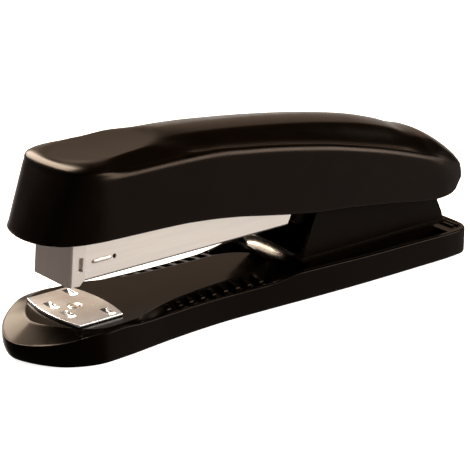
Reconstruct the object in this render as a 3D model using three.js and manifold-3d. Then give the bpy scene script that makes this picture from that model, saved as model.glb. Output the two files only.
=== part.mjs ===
// Desk stapler, full size, in millimetres, +Z up, front towards -X.
// Every x below is measured from the centre of the anvil; the outer group shifts the whole
// stapler so that the origin lies under the middle of the base, on the table.

import * as THREE from 'three';
import { mergeVertices } from 'three/addons/utils/BufferGeometryUtils.js';
import Module from 'manifold-3d';

const wasm = await Module();
wasm.setup();

// ---------------------------------------------------------------- driving dimensions

const ANVIL_TO_MIDDLE = 55.05;     // from the anvil's centre back to the middle of the base

const BASE_TIP = -20.2;            // foremost point of the base
const BASE_END = 130.3;            // rearmost point of the base
const BASE_HALF = 17.6;            // half width at the anvil
const DECK_Z = 9.0;                // top of the front deck
const TRAY_Z = 4.6;                // floor of the tray
const BASE_WALL = 1.6;
const TRAY_WALL = 1.3;             // wall round the tray
const TRAY_FRONT = 54;             // the tray is open behind this line
const SOLE_THICK = 1.6;
const SOLE_INSET = 2.8;            // from the base's outline to the edge of the sole
const POCKET_INSET = 2.6;
const LEDGE = 1.8;                 // width of the ledge above the sole's edge

const RIB_COUNT = 9;               // ribs in each side scallop
const RIB_FIRST = 20.7;
const RIB_PITCH = 3.94;
const RIB_WIDTH = 1.2;
const RIB_INSET = 2.3;             // from the waist's outline to a rib's rounded end

const HINGE_X = 117;               // pivot shared by the magazine and the cover
const HINGE_Z = 23;
const PIN_R = 2.4;
const PIN_HOLE_R = 2.5;

const BRACKET_HALF = 10.0;         // outside of the bracket's side walls
const BRACKET_Z = 8.4;             // underside of the bracket's floor
const BRACKET_FRONT = 69;
const BRACKET_REAR = 124.9;
const SHEET = 1.0;                 // thickness of the bracket
const BRACKET_RIVETS = [99, 113];
const BRACKET_RIVET_HOLE_R = 1.75;
const SPRING_RIVET_X = 86;
const SPRING_RIVET_HOLE_R = 1.5;
const SPRING_HALF = 5;             // half width of the return spring

const MAG_FRONT = -3.8;            // front end of the magazine sheath
const MAG_SPLIT = 69.0;            // where the bright sheath ends and the black carrier starts
const MAG_Z = 19.0;                // underside of the magazine
const MAG_TOP = 33.0;
const MAG_HALF = 7.3;
const MAG_WALL = 0.7;
const CARRIER_HALF = 7.6;
const CARRIER_WALL = 0.9;

const RAIL_HALF = 5.6;
const RAIL_TOP = 27.3;
const RAIL_WALL = 0.8;
const RAIL_END = 110;

const STAPLE_HALF = 6.35;          // 12.7 mm across the crown
const STAPLE_WIRE = 0.5;
const STRIP_FRONT = -2.9;
const STRIP_END = 48.8;
const STRIP_TOP = 28.0;

const ROD_Z = 24.2;
const ROD_R = 0.9;

const PLATE_FRONT = -7.2;          // bottom front edge of the front plate
const PLATE_Z = 18.8;
const PLATE_HALF = 8.2;
const PLATE_WALL = 0.7;
const PLATE_HEIGHT = 15.2;
const PLATE_LEAN = 5;              // degrees, top towards the rear

const FRAME_HALF = 8.7;            // outside of the cover's steel frame
const FRAME_WALL = 0.9;
const COVER_SCREWS = [20, 74];
const SCREW_HOLE_R = 1.25;
const SCREW_BOSS_R = 3;
const DRIVER_RIVET_X = 3;
const DRIVER_RIVET_HOLE_R = 1.1;

const COVER_TIP = -16.1;
const COVER_END = 130.2;
const COVER_HALF = 15.6;
const COVER_WALL = 2.0;

const OUTLINE_HALF_COUNT = 36;     // points on half of each plan outline
const ROUND = 32;                  // sides of a large round piece
const SMALL_ROUND = 16;            // sides of a small one

// ---------------------------------------------------------------- geometry helpers

/** Only the positions, with shared corners merged and collapsed triangles dropped. */
function welded(geometry) {
  const bare = new THREE.BufferGeometry();
  bare.setAttribute('position', geometry.getAttribute('position').clone());
  if (geometry.index) bare.setIndex(geometry.index.clone());
  const merged = mergeVertices(bare, 1e-5);
  const index = merged.index.array;
  const kept = [];
  for (let i = 0; i < index.length; i += 3) {
    const [a, b, c] = [index[i], index[i + 1], index[i + 2]];
    if (a !== b && b !== c && c !== a) kept.push(a, b, c);
  }
  merged.setIndex(kept);
  return merged;
}

function solid(geometry) {
  const merged = welded(geometry);
  const vertProperties = new Float32Array(merged.getAttribute('position').array);
  const triVerts = new Uint32Array(merged.index.array);
  return new wasm.Manifold(new wasm.Mesh({ numProp: 3, vertProperties, triVerts }));
}

function geometryOf(body) {
  const mesh = body.getMesh();
  const geometry = new THREE.BufferGeometry();
  geometry.setAttribute('position', new THREE.BufferAttribute(mesh.vertProperties, 3));
  geometry.setIndex(Array.from(mesh.triVerts));
  return geometry;
}

/** The first geometry with the others cut away. */
function cut(geometry, ...tools) {
  return geometryOf(tools.reduce((body, tool) => body.subtract(solid(tool)), solid(geometry)));
}

function join(...geometries) {
  return geometryOf(geometries.slice(1).reduce((body, g) => body.add(solid(g)), solid(geometries[0])));
}

function common(a, b) {
  return geometryOf(solid(a).intersect(solid(b)));
}

function block(x0, x1, y0, y1, z0, z1) {
  return new THREE.BoxGeometry(x1 - x0, y1 - y0, z1 - z0)
    .translate((x0 + x1) / 2, (y0 + y1) / 2, (z0 + z1) / 2);
}

function rodX(x0, x1, y, z, r, sides = ROUND) {
  return new THREE.CylinderGeometry(r, r, x1 - x0, sides)
    .rotateZ(Math.PI / 2).translate((x0 + x1) / 2, y, z);
}

function rodY(x, z, r, y0, y1, sides = ROUND) {
  return new THREE.CylinderGeometry(r, r, y1 - y0, sides).translate(x, (y0 + y1) / 2, z);
}

function rodZ(x, y, r, z0, z1, sides = ROUND) {
  return new THREE.CylinderGeometry(r, r, z1 - z0, sides)
    .rotateX(Math.PI / 2).translate(x, y, (z0 + z1) / 2);
}

function shapeOf(points) {
  return new THREE.Shape(points.map(([x, y]) => new THREE.Vector2(x, y)));
}

/** A side profile drawn in x and z, spread from y0 to y1. */
function acrossY(shape, y0, y1, curveSegments = 8) {
  return new THREE.ExtrudeGeometry(shape, { depth: y1 - y0, bevelEnabled: false, curveSegments })
    .rotateX(Math.PI / 2).translate(0, y1, 0);
}

/** A section drawn in y and z, extruded along x. */
function alongX(shape, x0, x1) {
  return new THREE.ExtrudeGeometry(shape, { depth: x1 - x0, bevelEnabled: false })
    .applyMatrix4(new THREE.Matrix4().set(0, 0, 1, x0, 1, 0, 0, 0, 0, 1, 0, 0, 0, 0, 0, 1));
}

/** A plan outline drawn in x and y, raised from z0 to z1. */
function upZ(shape, z0, z1, curveSegments = 8) {
  return new THREE.ExtrudeGeometry(shape, { depth: z1 - z0, bevelEnabled: false, curveSegments })
    .translate(0, 0, z0);
}

/** A channel along X: outer half width, wall, floor or roof from z0 to z1, open at the top or bottom. */
function channel(x0, x1, half, wall, z0, z1, open) {
  const inner = half - wall;
  const hollow = open === 'top'
    ? block(x0 - 1, x1 + 1, -inner, inner, z0 + wall, z1 + 1)
    : block(x0 - 1, x1 + 1, -inner, inner, z0 - 1, z1 - wall);
  return cut(block(x0, x1, -half, half, z0, z1), hollow);
}

/** A bent strip: a line of [x, z] points thickened both ways and spread from y0 to y1. */
function bentStrip(points, thickness, y0, y1) {
  const line = new THREE.SplineCurve(points.map(([x, z]) => new THREE.Vector2(x, z)));
  const count = points.length * 5;
  const sides = [[], []];
  for (let i = 0; i <= count; i += 1) {
    const at = line.getPoint(i / count);
    const along = line.getTangent(i / count);
    sides[0].push([at.x - along.y * thickness / 2, at.y + along.x * thickness / 2]);
    sides[1].push([at.x + along.y * thickness / 2, at.y - along.x * thickness / 2]);
  }
  return acrossY(shapeOf([...sides[0], ...sides[1].reverse()]), y0, y1);
}

/** A coil round the line from `from` to `to`, as one closed wire. */
function coil(from, to, radius, wire, turns) {
  const start = new THREE.Vector3(...from);
  const axis = new THREE.Vector3(...to).sub(start);
  const side = Math.abs(axis.z) > Math.abs(axis.x)
    ? new THREE.Vector3(1, 0, 0)
    : new THREE.Vector3(0, 0, 1);
  const other = axis.clone().normalize().cross(side);
  const points = [];
  const stepsPerTurn = 10;
  for (let i = 0; i <= turns * stepsPerTurn; i += 1) {
    const angle = (i / stepsPerTurn) * Math.PI * 2;
    points.push(start.clone()
      .addScaledVector(axis, i / (turns * stepsPerTurn))
      .addScaledVector(side, Math.cos(angle) * radius)
      .addScaledVector(other, Math.sin(angle) * radius));
  }
  const path = new THREE.CatmullRomCurve3(points);
  const section = shapeOf([0, 1, 2, 3, 4].map((k) => {
    const angle = (k / 5) * Math.PI * 2;
    return [Math.cos(angle) * wire / 2, Math.sin(angle) * wire / 2];
  }));
  return new THREE.ExtrudeGeometry(section, {
    steps: turns * stepsPerTurn, bevelEnabled: false, extrudePath: path,
  });
}

/** A rivet or screw standing along Z: shank with a head at each end. */
function rivet(x, shankR, headR, bottom, under, over, top) {
  const profile = [
    [0, bottom], [headR * 0.8, bottom], [headR, bottom + 0.3], [headR, under], [shankR, under],
    [shankR, over], [headR, over], [headR * 0.75, (over + top) / 2 + 0.2], [0, top],
  ].map(([r, z]) => new THREE.Vector2(r, z));
  return new THREE.LatheGeometry(profile, SMALL_ROUND).rotateX(Math.PI / 2).translate(x, 0, 0);
}

/**
 * A plan outline that mirrors itself in y: `half` lists [x, y] points from the front tip
 * to the rear middle, and a closed curve rounds them.
 */
function outline(half) {
  const back = half.slice(1, -1).reverse().map(([x, y]) => [x, -y]);
  const loop = [...half, ...back].map(([x, y]) => new THREE.Vector3(x, y, 0));
  const curve = new THREE.CatmullRomCurve3(loop, true, 'centripetal');
  const sampled = curve.getSpacedPoints(OUTLINE_HALF_COUNT * 2).slice(0, OUTLINE_HALF_COUNT + 1);
  const upper = sampled.map((p) => ({ x: p.x, y: p.y }));
  upper[0].y = 0;
  upper[OUTLINE_HALF_COUNT].y = 0;
  const lower = upper.slice(1, -1).reverse().map((p) => ({ x: p.x, y: -p.y }));
  return [...upper, ...lower];
}

/** The outline moved inwards along its own normals, by a distance that may depend on x. */
function inset(points, distance) {
  const far = typeof distance === 'function' ? distance : () => distance;
  return points.map((p, i) => {
    const before = points[(i + points.length - 1) % points.length];
    const after = points[(i + 1) % points.length];
    const length = Math.hypot(after.x - before.x, after.y - before.y);
    const nx = -(after.y - before.y) / length;
    const ny = (after.x - before.x) / length;
    const d = far(p.x);
    return { x: p.x - nx * d, y: p.y - ny * d };
  });
}

function planShape(points) {
  return shapeOf(points.map((p) => [p.x, p.y]));
}

/**
 * A skin through a stack of rings with equal point counts, lowest ring first on the outside.
 * A ring is a list of {x, y, z}. `fill` says which end rings get a flat cap; an end without
 * one is already folded onto a line, so that the skin closes by itself.
 */
function skin(rings, fill) {
  const count = rings[0].length;
  const position = rings.flatMap((ring) => ring.flatMap((p) => [p.x, p.y, p.z]));
  const index = [];
  for (let r = 0; r + 1 < rings.length; r += 1) {
    for (let i = 0; i < count; i += 1) {
      const a = r * count + i;
      const b = r * count + ((i + 1) % count);
      index.push(a, a + count, b, b, a + count, b + count);
    }
  }
  const cap = (ring, up) => {
    const flat = rings[ring].map((p) => new THREE.Vector2(p.x, p.y));
    for (const [i, j, k] of THREE.ShapeUtils.triangulateShape(flat, [])) {
      const turnsLeft = flat[j].clone().sub(flat[i]).cross(flat[k].clone().sub(flat[i])) > 0;
      const face = turnsLeft === up ? [i, j, k] : [i, k, j];
      index.push(...face.map((n) => ring * count + n));
    }
  };
  if (fill.bottom) cap(0, false);
  if (fill.top) cap(rings.length - 1, true);
  const geometry = new THREE.BufferGeometry();
  geometry.setAttribute('position', new THREE.Float32BufferAttribute(position, 3));
  geometry.setIndex(index);
  return geometry;
}

/** A smooth function of x through [x, value] pairs, held constant past the ends. */
function along(pairs) {
  return (x) => {
    if (x <= pairs[0][0]) return pairs[0][1];
    for (let i = 1; i < pairs.length; i += 1) {
      if (x <= pairs[i][0]) {
        const t = (x - pairs[i - 1][0]) / (pairs[i][0] - pairs[i - 1][0]);
        return THREE.MathUtils.lerp(pairs[i - 1][1], pairs[i][1], t);
      }
    }
    return pairs[pairs.length - 1][1];
  };
}

// ---------------------------------------------------------------- materials

const materials = {
  blackPlastic: () => new THREE.MeshStandardMaterial({ color: 0x16110e, roughness: 0.35, metalness: 0 }),
  rubber: () => new THREE.MeshStandardMaterial({ color: 0x0d0d0d, roughness: 0.85, metalness: 0 }),
  blackSteel: () => new THREE.MeshStandardMaterial({ color: 0x12100e, roughness: 0.45, metalness: 0.1 }),
  brightSteel: () => new THREE.MeshStandardMaterial({ color: 0xd2c8bd, roughness: 0.3, metalness: 1 }),
  darkSteel: () => new THREE.MeshStandardMaterial({ color: 0x8a817a, roughness: 0.35, metalness: 1 }),
  springSteel: () => new THREE.MeshStandardMaterial({ color: 0xa89c8e, roughness: 0.25, metalness: 1 }),
};

const assembly = new THREE.Group();

function add(name, geometry, material) {
  const mesh = new THREE.Mesh(welded(geometry), materials[material]());
  mesh.name = name;
  assembly.add(mesh);
}

// ---------------------------------------------------------------- base

const baseOutline = outline([
  [BASE_TIP, 0], [-19.1, 4.8], [-16.1, 10.0], [-11.2, 14.6], [-4.3, BASE_HALF], [4, 17.6], [20, 16.0],
  [37, 15.2], [53, 15.8], [69, 16.7], [87, 17.4], [105, 17.6], [121, 17.5], [126.6, 16.5],
  [129.4, 13.2], [130.2, 7], [BASE_END, 0],
]);

/** Height of the rim: it dips behind the nose, stays low at the waist and rises at the bracket. */
const rimHeight = along([
  [-20, 5.0], [-13, 6.6], [-5, 8.3], [3, 8.6], [9, 8.0], [16, 7.7], [30, 7.6], [52, 7.4], [58, 7.9],
  [64, 8.6], [74, 8.5], [90, 8.2], [107, 8.0], [124, 7.6], [131, 7.4],
]);

/** Width of the band between the wall and the deck: wide round the nose and in the side scallops. */
const bandWidth = along([
  [-20, 6.6], [-12, 5.6], [-5, 3.2], [2, 1.6], [8, 1.5], [9.5, 1.6], [14, 2.5], [20.8, 4.2], [27, 5.1],
  [34, 5.6], [40, 5.9], [46, 6.4], [52, 6.9], [54.5, 7.2], [56.5, 1.4], [131, 1.4],
]);

/** 0 on the nose and along the tray, 1 where the band is hollowed into a scallop. */
const scallop = along([[8, 0], [15, 1], [54, 1], [57, 0]]);

/** Half width of the base between the nose and the tray. */
const waist = along([[10, 16.9], [20, 16.0], [37, 15.2], [53, 15.8]]);

function baseBody() {
  const level = (distance, height) => inset(baseOutline, distance).map((p, i) => ({
    ...p, z: typeof height === 'function' ? height(baseOutline[i].x) : height,
  }));
  return skin([
    level(0.9, 0.2),
    level(0.25, 0.8),
    level(0, 2.0),
    level(0, (x) => rimHeight(x) - 0.8),
    level(0.5, rimHeight),
    ...[[0.3, 0.7], [0.6, 0.1]].map(([share, sink]) => level(
      (x) => THREE.MathUtils.lerp(0.5, bandWidth(x), share),
      (x) => {
        const sloped = THREE.MathUtils.lerp(rimHeight(x), DECK_Z, share);
        return THREE.MathUtils.lerp(sloped, rimHeight(x) - sink, scallop(x));
      },
    )),
    level(bandWidth, DECK_Z),
  ], { bottom: true, top: true });
}

/** The round end of the deck, which reaches back into the tray. */
function deckTongue() {
  const half = [
    [TRAY_FRONT - 4, 9.0], [52, 8.9], [54, 8.55], [56, 8.0], [58.2, 7.0], [60.2, 5.6], [61.8, 3.9],
    [62.8, 2.0], [63.1, 0],
  ];
  return shapeOf([...half, ...half.slice(0, -1).reverse().map(([x, y]) => [x, -y])]);
}

/** Everything that is open above the tray floor, with the pads that carry the bracket left standing. */
function trayVoid() {
  const inside = upZ(planShape(inset(baseOutline, TRAY_WALL)), TRAY_Z, DECK_Z + 3);
  const behindDeck = block(TRAY_FRONT, BASE_END + 5, -BASE_HALF - 5, BASE_HALF + 5, TRAY_Z - 1, DECK_Z + 4);
  const kept = [upZ(deckTongue(), TRAY_Z - 1, DECK_Z + 4, 4)];
  for (const side of [-1, 1]) {
    const y = side * 8.2;
    kept.push(block(72, 121, y - 1.6, y + 1.6, TRAY_Z - 1, BRACKET_Z - 0.1));
  }
  kept.push(block(95, 120, -6, 6, TRAY_Z - 1, BRACKET_Z - 0.1));
  kept.push(block(122, BASE_END + 5, -BASE_HALF, BASE_HALF, TRAY_Z - 1, 6.4));
  for (const x of [125.6, 127.4]) {
    kept.push(block(x, x + 0.8, -12.5, 12.5, TRAY_Z - 1, 7.2));
  }
  return cut(common(inside, behindDeck), ...kept);
}

/** Thin ribs that cross each scallop, level with the deck at the inner end and lower at the outer one. */
function scallopRibs() {
  const ribs = [];
  for (let k = 0; k < RIB_COUNT; k += 1) {
    const x = RIB_FIRST + k * RIB_PITCH;
    const inner = waist(x) - bandWidth(x) - 0.8;
    const outer = waist(x) - RIB_INSET;
    for (const side of [-1, 1]) {
      const section = shapeOf([[inner, 6.2], [outer, 6.2], [outer, 7.7], [outer - 0.4, 8.2], [inner, 8.9]]
        .map(([y, z]) => [y * side, z]));
      ribs.push(alongX(section, x - RIB_WIDTH / 2, x + RIB_WIDTH / 2));
    }
  }
  return ribs;
}

/** The underside: a pocket for the sole, a shallow hollow above it, a deeper one under the deck. */
function baseHollow() {
  const pocket = upZ(planShape(inset(baseOutline, POCKET_INSET)), -1, SOLE_THICK + 0.1);
  const shallow = upZ(planShape(inset(baseOutline, POCKET_INSET + LEDGE)), 0, TRAY_Z - BASE_WALL);
  const half = [[-14.5, 0], [-12.5, 5.5], [-8, 10], [-1, 12.4], [6, 12.4], [14, 10.6], [22, 8.4], [32, 7.2],
    [44, 7.6], [51, 7.4], [56, 5], [59.5, 0]];
  const deep = upZ(
    shapeOf([...half, ...half.slice(1, -1).reverse().map(([x, y]) => [x, -y])]),
    TRAY_Z - BASE_WALL - 1, DECK_Z - BASE_WALL, 4);
  return join(pocket, shallow, deep);
}

add('base_shell', cut(
  join(cut(baseBody(), trayVoid()), ...scallopRibs()), baseHollow(),
  rodZ(0, 0, 2.2, 5, 12),
  rodZ(SPRING_RIVET_X, 0, SPRING_RIVET_HOLE_R, 1, 6, SMALL_ROUND),
  ...BRACKET_RIVETS.map((x) => rodZ(x, 0, BRACKET_RIVET_HOLE_R, 1, 10, SMALL_ROUND)),
), 'blackPlastic');

add('base_sole', upZ(planShape(inset(baseOutline, SOLE_INSET)), 0, SOLE_THICK), 'rubber');

/** Side wall of the bracket: slanted front, round top over the pin, flared rear foot. */
function bracketWall() {
  const shape = new THREE.Shape();
  shape.moveTo(BRACKET_FRONT, BRACKET_Z);
  shape.lineTo(BRACKET_REAR, BRACKET_Z);
  shape.lineTo(123.6, 11.6);
  shape.lineTo(121.7, 15.5);
  shape.lineTo(HINGE_X + 5, HINGE_Z - 1);
  shape.absarc(HINGE_X, HINGE_Z, 5, -0.2, 1.75, false);
  shape.lineTo(100, 27.2);
  shape.lineTo(76.2, 24.6);
  shape.lineTo(74.6, 21.5);
  return shape;
}

function hingeBracket() {
  const walls = [[-BRACKET_HALF, -BRACKET_HALF + SHEET], [BRACKET_HALF - SHEET, BRACKET_HALF]]
    .map(([y0, y1]) => acrossY(bracketWall(), y0, y1));
  const floor = block(BRACKET_FRONT + 1, BRACKET_REAR, -BRACKET_HALF - 0.6, BRACKET_HALF + 0.6, BRACKET_Z, BRACKET_Z + 0.8);
  const windowHalf = SPRING_HALF + 0.6;
  const springWindow = block(BRACKET_FRONT, 79, -windowHalf, windowHalf, BRACKET_Z - 1, BRACKET_Z + 2);
  return cut(
    join(floor, ...walls),
    springWindow,
    rodY(HINGE_X, HINGE_Z, PIN_HOLE_R, -15, 15),
    ...BRACKET_RIVETS.map((x) => rodZ(x, 0, BRACKET_RIVET_HOLE_R, 7, 11, SMALL_ROUND)),
  );
}

add('hinge_bracket', hingeBracket(), 'blackSteel');
BRACKET_RIVETS.forEach((x, i) => {
  const name = `bracket_rivet_${i === 0 ? 'front' : 'rear'}`;
  add(name, rivet(x, 1.6, 3, 1.9, 2.9, 9.3, 10.4), 'darkSteel');
});

/** Leaf spring: root flat on the tray floor, blade rising forwards, tip rolled under the magazine. */
function returnSpring() {
  const strip = bentStrip([
    [92, 5.0], [85, 5.0], [78.5, 5.1], [75, 6.6], [68, 11.4], [61, 15.8], [57, 17.9], [54.2, 17.9],
  ], 0.5, -SPRING_HALF, SPRING_HALF);
  return cut(strip, rodZ(SPRING_RIVET_X, 0, SPRING_RIVET_HOLE_R, 1, 8, SMALL_ROUND));
}

add('return_spring', returnSpring(), 'springSteel');
add('spring_rivet', rivet(SPRING_RIVET_X, 1.4, 2.4, 1.9, 2.9, 5.35, 6.2), 'darkSteel');

function pivotPin() {
  const headIn = BRACKET_HALF + 0.1;
  return join(
    rodY(HINGE_X, HINGE_Z, PIN_R, -headIn - 0.5, headIn + 1.2),
    rodY(HINGE_X, HINGE_Z, 3.8, -headIn - 0.9, -headIn),
  );
}

add('pivot_pin', pivotPin(), 'darkSteel');
add('pin_ring', cut(
  rodY(HINGE_X, HINGE_Z, 3.8, BRACKET_HALF + 0.1, BRACKET_HALF + 0.9),
  rodY(HINGE_X, HINGE_Z, PIN_HOLE_R, BRACKET_HALF - 1, BRACKET_HALF + 2),
), 'darkSteel');

// ---------------------------------------------------------------- anvil

const ANVIL_BOTTOM = DECK_Z + 0.1;
const ANVIL_TOP = DECK_Z + 1.0;
const ANVIL_HALF_X = 6.7;
const ANVIL_HALF_Y = 12.25;
const ANVIL_BULGE = 1.7;           // how far the long edges bow outwards

/** Plan of the anvil: straight short sides, bowed long sides. */
function anvilShape() {
  const bow = (ANVIL_HALF_Y ** 2 + ANVIL_BULGE ** 2) / (2 * ANVIL_BULGE);
  const sweep = Math.asin(ANVIL_HALF_Y / bow);
  const shape = new THREE.Shape();
  shape.absarc(ANVIL_HALF_X + ANVIL_BULGE - bow, 0, bow, -sweep, sweep, false);
  shape.absarc(-ANVIL_HALF_X - ANVIL_BULGE + bow, 0, bow, Math.PI - sweep, Math.PI + sweep, false);
  return shape;
}

/** A boat-shaped crimping groove, sunk to half the plate's thickness. */
function groove(x, y, lengthY) {
  return new THREE.SphereGeometry(1, 12, 6).scale(0.85, lengthY / 2, 0.5).translate(x, y, ANVIL_TOP);
}

function anvilPlate() {
  const grooves = [];
  for (const side of [-1, 1]) {
    grooves.push(groove(-4.7, side * 3.9, 6.2));
    grooves.push(groove(4.5, side * 8.7, 6.4));
  }
  return cut(upZ(anvilShape(), ANVIL_BOTTOM, ANVIL_TOP, 16), ...grooves, rodZ(0, 0, 1.75, 8, 11, 24));
}

add('anvil_plate', anvilPlate(), 'brightSteel');
add('anvil_stud', rivet(0, 1.6, 2.5, 4.9, 5.7, ANVIL_TOP + 0.1, ANVIL_TOP + 0.35), 'brightSteel');
add('anvil_washer', cut(
  rodZ(0, 0, 4.2, 6.3, 6.9, 24),
  rodZ(0, 0, 1.8, 5, 8, 24),
), 'springSteel');

// ---------------------------------------------------------------- magazine

function magazineSheath() {
  const body = channel(MAG_FRONT, MAG_SPLIT, MAG_HALF, MAG_WALL, MAG_Z, MAG_TOP, 'top');
  const corner = shapeOf([[66.2, 18], [70, 18], [70, 24.4], [69, 24.0], [68.3, 22.3], [66.2, MAG_Z]]);
  return cut(body, acrossY(corner, -9, 9), rodY(8, 23.95, 0.6, -9, 9, 12));
}

add('magazine_sheath', magazineSheath(), 'brightSteel');

/** Front plate: bent round the magazine's nose, leaning back, with a small slot in each side. */
function frontPlate() {
  const bend = 1.1;
  const reach = 5.2;
  const wrap = (half, front, radius) => {
    const shape = new THREE.Shape();
    shape.moveTo(reach, -half);
    shape.lineTo(reach, half);
    shape.lineTo(front + radius, half);
    shape.absarc(front + radius, half - radius, radius, Math.PI / 2, Math.PI, false);
    shape.lineTo(front, -half + radius);
    shape.absarc(front + radius, -half + radius, radius, Math.PI, Math.PI * 1.5, false);
    return shape;
  };
  const outer = upZ(wrap(PLATE_HALF, 0, bend), 0, PLATE_HEIGHT, 6);
  const inner = upZ(wrap(PLATE_HALF - PLATE_WALL, PLATE_WALL, bend - PLATE_WALL), -1, PLATE_HEIGHT + 1, 6)
    .scale(1.2, 1, 1).translate(-0.2 * PLATE_WALL, 0, 0);
  const slot = block(2.7, 4.2, -10, 10, 4.0, 7.6);
  const corner = acrossY(shapeOf([[2.6, -1], [6, -1], [6, 1.6], [4.6, 1.2]]), -10, 10);
  return cut(outer, inner, slot, corner)
    .rotateY(THREE.MathUtils.degToRad(PLATE_LEAN)).translate(PLATE_FRONT, 0, PLATE_Z);
}

add('front_plate', frontPlate(), 'darkSteel');

function stapleRail() {
  const front = MAG_FRONT + 0.6;
  const bottom = MAG_Z + MAG_WALL + 0.1;
  const body = channel(front, RAIL_END, RAIL_HALF, RAIL_WALL, bottom, RAIL_TOP, 'bottom');
  const tab = (x) => block(x, x + 0.9, -3.4, 3.4, bottom + 0.6, RAIL_TOP - 0.3);
  return cut(
    join(body, tab(-1.4), tab(103)),
    block(2, 100, -1.6, 1.6, RAIL_TOP - 2, RAIL_TOP + 1),
    rodX(-3, 106, 0, ROD_Z, ROD_R + 0.1, 20),
  );
}

add('staple_rail', stapleRail(), 'brightSteel');
add('staple_strip', channel(STRIP_FRONT, STRIP_END, STAPLE_HALF, STAPLE_WIRE, 21.7, STRIP_TOP, 'bottom'),
  'brightSteel');
add('guide_rod', rodX(-1.8, 105.5, 0, ROD_Z, ROD_R, SMALL_ROUND), 'springSteel');

/** Black rear part of the magazine: channel that narrows to the two hinge eyes. */
function magazineCarrier() {
  const shape = new THREE.Shape();
  shape.moveTo(MAG_SPLIT + 0.4, MAG_Z);
  shape.lineTo(112, MAG_Z);
  shape.absarc(HINGE_X, HINGE_Z, 5.2, -2.2, 1.75, false);
  shape.lineTo(100, MAG_TOP - 4);
  shape.lineTo(MAG_SPLIT + 0.4, MAG_TOP - 1);
  const inner = CARRIER_HALF - CARRIER_WALL;
  return cut(
    acrossY(shape, -CARRIER_HALF, CARRIER_HALF),
    block(60, 130, -inner, inner, MAG_Z + MAG_WALL, 40),
    block(RAIL_END + 1, 130, -inner, inner, 10, 40),
    rodY(HINGE_X, HINGE_Z, PIN_HOLE_R, -15, 15),
  );
}

add('magazine_carrier', magazineCarrier(), 'blackSteel');

/** Strap across the top of the sheath that carries the handle spring. */
function springBridge() {
  const top = block(27, 37, -MAG_HALF, MAG_HALF, MAG_TOP + 0.1, MAG_TOP + 0.9);
  const tabs = [-1, 1].map((side) => block(28, 36, side * 6.25 - 0.2, side * 6.25 + 0.2, 30, MAG_TOP + 0.3));
  return join(top, ...tabs);
}

add('spring_bridge', springBridge(), 'darkSteel');
add('handle_spring', coil([32, 0, MAG_TOP + 1.4], [32, 0, 45.6], 3, 0.7, 5), 'springSteel');

// ---------------------------------------------------------------- pusher

/** Follower: saddle over the rail, collar on the guide rod and a finger tab on top. */
function pusher() {
  const front = STRIP_END + 0.3;
  const rear = front + 10;
  const saddle = cut(
    block(front, rear, -STAPLE_HALF, STAPLE_HALF, 22, 28.8),
    block(front - 1, rear + 1, -RAIL_HALF - 0.25, RAIL_HALF + 0.25, 21, RAIL_TOP + 0.3),
  );
  const tongue = block(front + 1, rear - 1, -1.2, 1.2, 25.2, 28);
  const collar = rodX(front + 1, rear - 1, 0, ROD_Z, 2.0, 20);
  const tab = block(rear - 3.5, rear - 1.5, -4, 4, 28.4, 32.2);
  return cut(join(saddle, tongue, collar, tab), rodX(front - 2, rear + 2, 0, ROD_Z, ROD_R + 0.1, 20));
}

add('pusher', pusher(), 'blackPlastic');
add('pusher_spring', coil([STRIP_END + 9.6, 0, ROD_Z], [102.6, 0, ROD_Z], 1.5, 0.4, 11), 'springSteel');

// ---------------------------------------------------------------- cover

const coverOutline = outline([
  [COVER_TIP, 0], [-15.5, 4.8], [-14.1, 8.9], [-11.8, 12.0], [-8, 14.2], [-2, 15.4], [8, COVER_HALF],
  [30, 15.7], [60, 15.8], [90, 15.9], [112, 15.9], [121.5, 15.6], [126.6, 14.3], [129.2, 11.2], [130, 6],
  [COVER_END, 0],
]);

const lowerEdge = along([
  [-16, 31.9], [-10, 32.2], [-3.5, 32.3], [5, 32.1], [23, 31.6], [32, 30.9], [41.5, 29.7], [51, 28.1],
  [61, 26.4], [71, 24.7], [81, 23.5], [97, 21.1], [117, 18.4], [122, 18.5], [126, 19.3], [131, 21.0],
]);

const shoulder = along([
  [-17, 48.7], [-10, 48.9], [-2, 48.8], [5, 48.6], [18, 48.7], [28, 48.6], [37, 48.2], [46, 47.1],
  [56, 45.7], [66, 44.0], [76, 42.1], [86, 39.8], [97, 37.0], [108, 33.6], [114, 31.4], [119, 29.0],
  [125, 26.0], [131, 24.0],
]);

const ridge = along([
  [-3, 50.7], [1, 51.3], [6, 52.0], [12, 52.6], [18, 53.0], [24, 53.25], [30, 53.1], [40, 52.4], [52, 51.2], [64.5, 49.7], [77.5, 47.8],
  [86.4, 46.2], [95.5, 44.2], [104.8, 41.4], [110, 39.2],
]);

const SPINE_FRONT = 6;             // the crown closes on a line between these two places
const SPINE_REAR = 110;
const NOSE_DRAFT = 7.2;            // how far the nose leans back between lower edge and shoulder
const CROWN_ROUNDNESS = 1.6;       // 2 would be an elliptical arch, 1 a flat roof
const TAIL_TUCK = 3.0;             // how far the tail's lower edge tucks in

const PAD_X = 9.85;                // middle of the thumb pad
const PAD_Z = 51.92;
const PAD_SLOPE = 0.046;
const PAD_HALF_X = 13.77;
const PAD_HALF_Y = 10.62;

/** Fraction from 0 to 1 that grows towards the tip, so that only the nose leans. */
function noseShare(x) {
  return THREE.MathUtils.clamp((4 - x) / (4 - COVER_TIP), 0, 1) ** 1.5;
}

function tailShare(x) {
  return THREE.MathUtils.clamp((x - 112) / (COVER_END - 112), 0, 1) ** 2;
}

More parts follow.
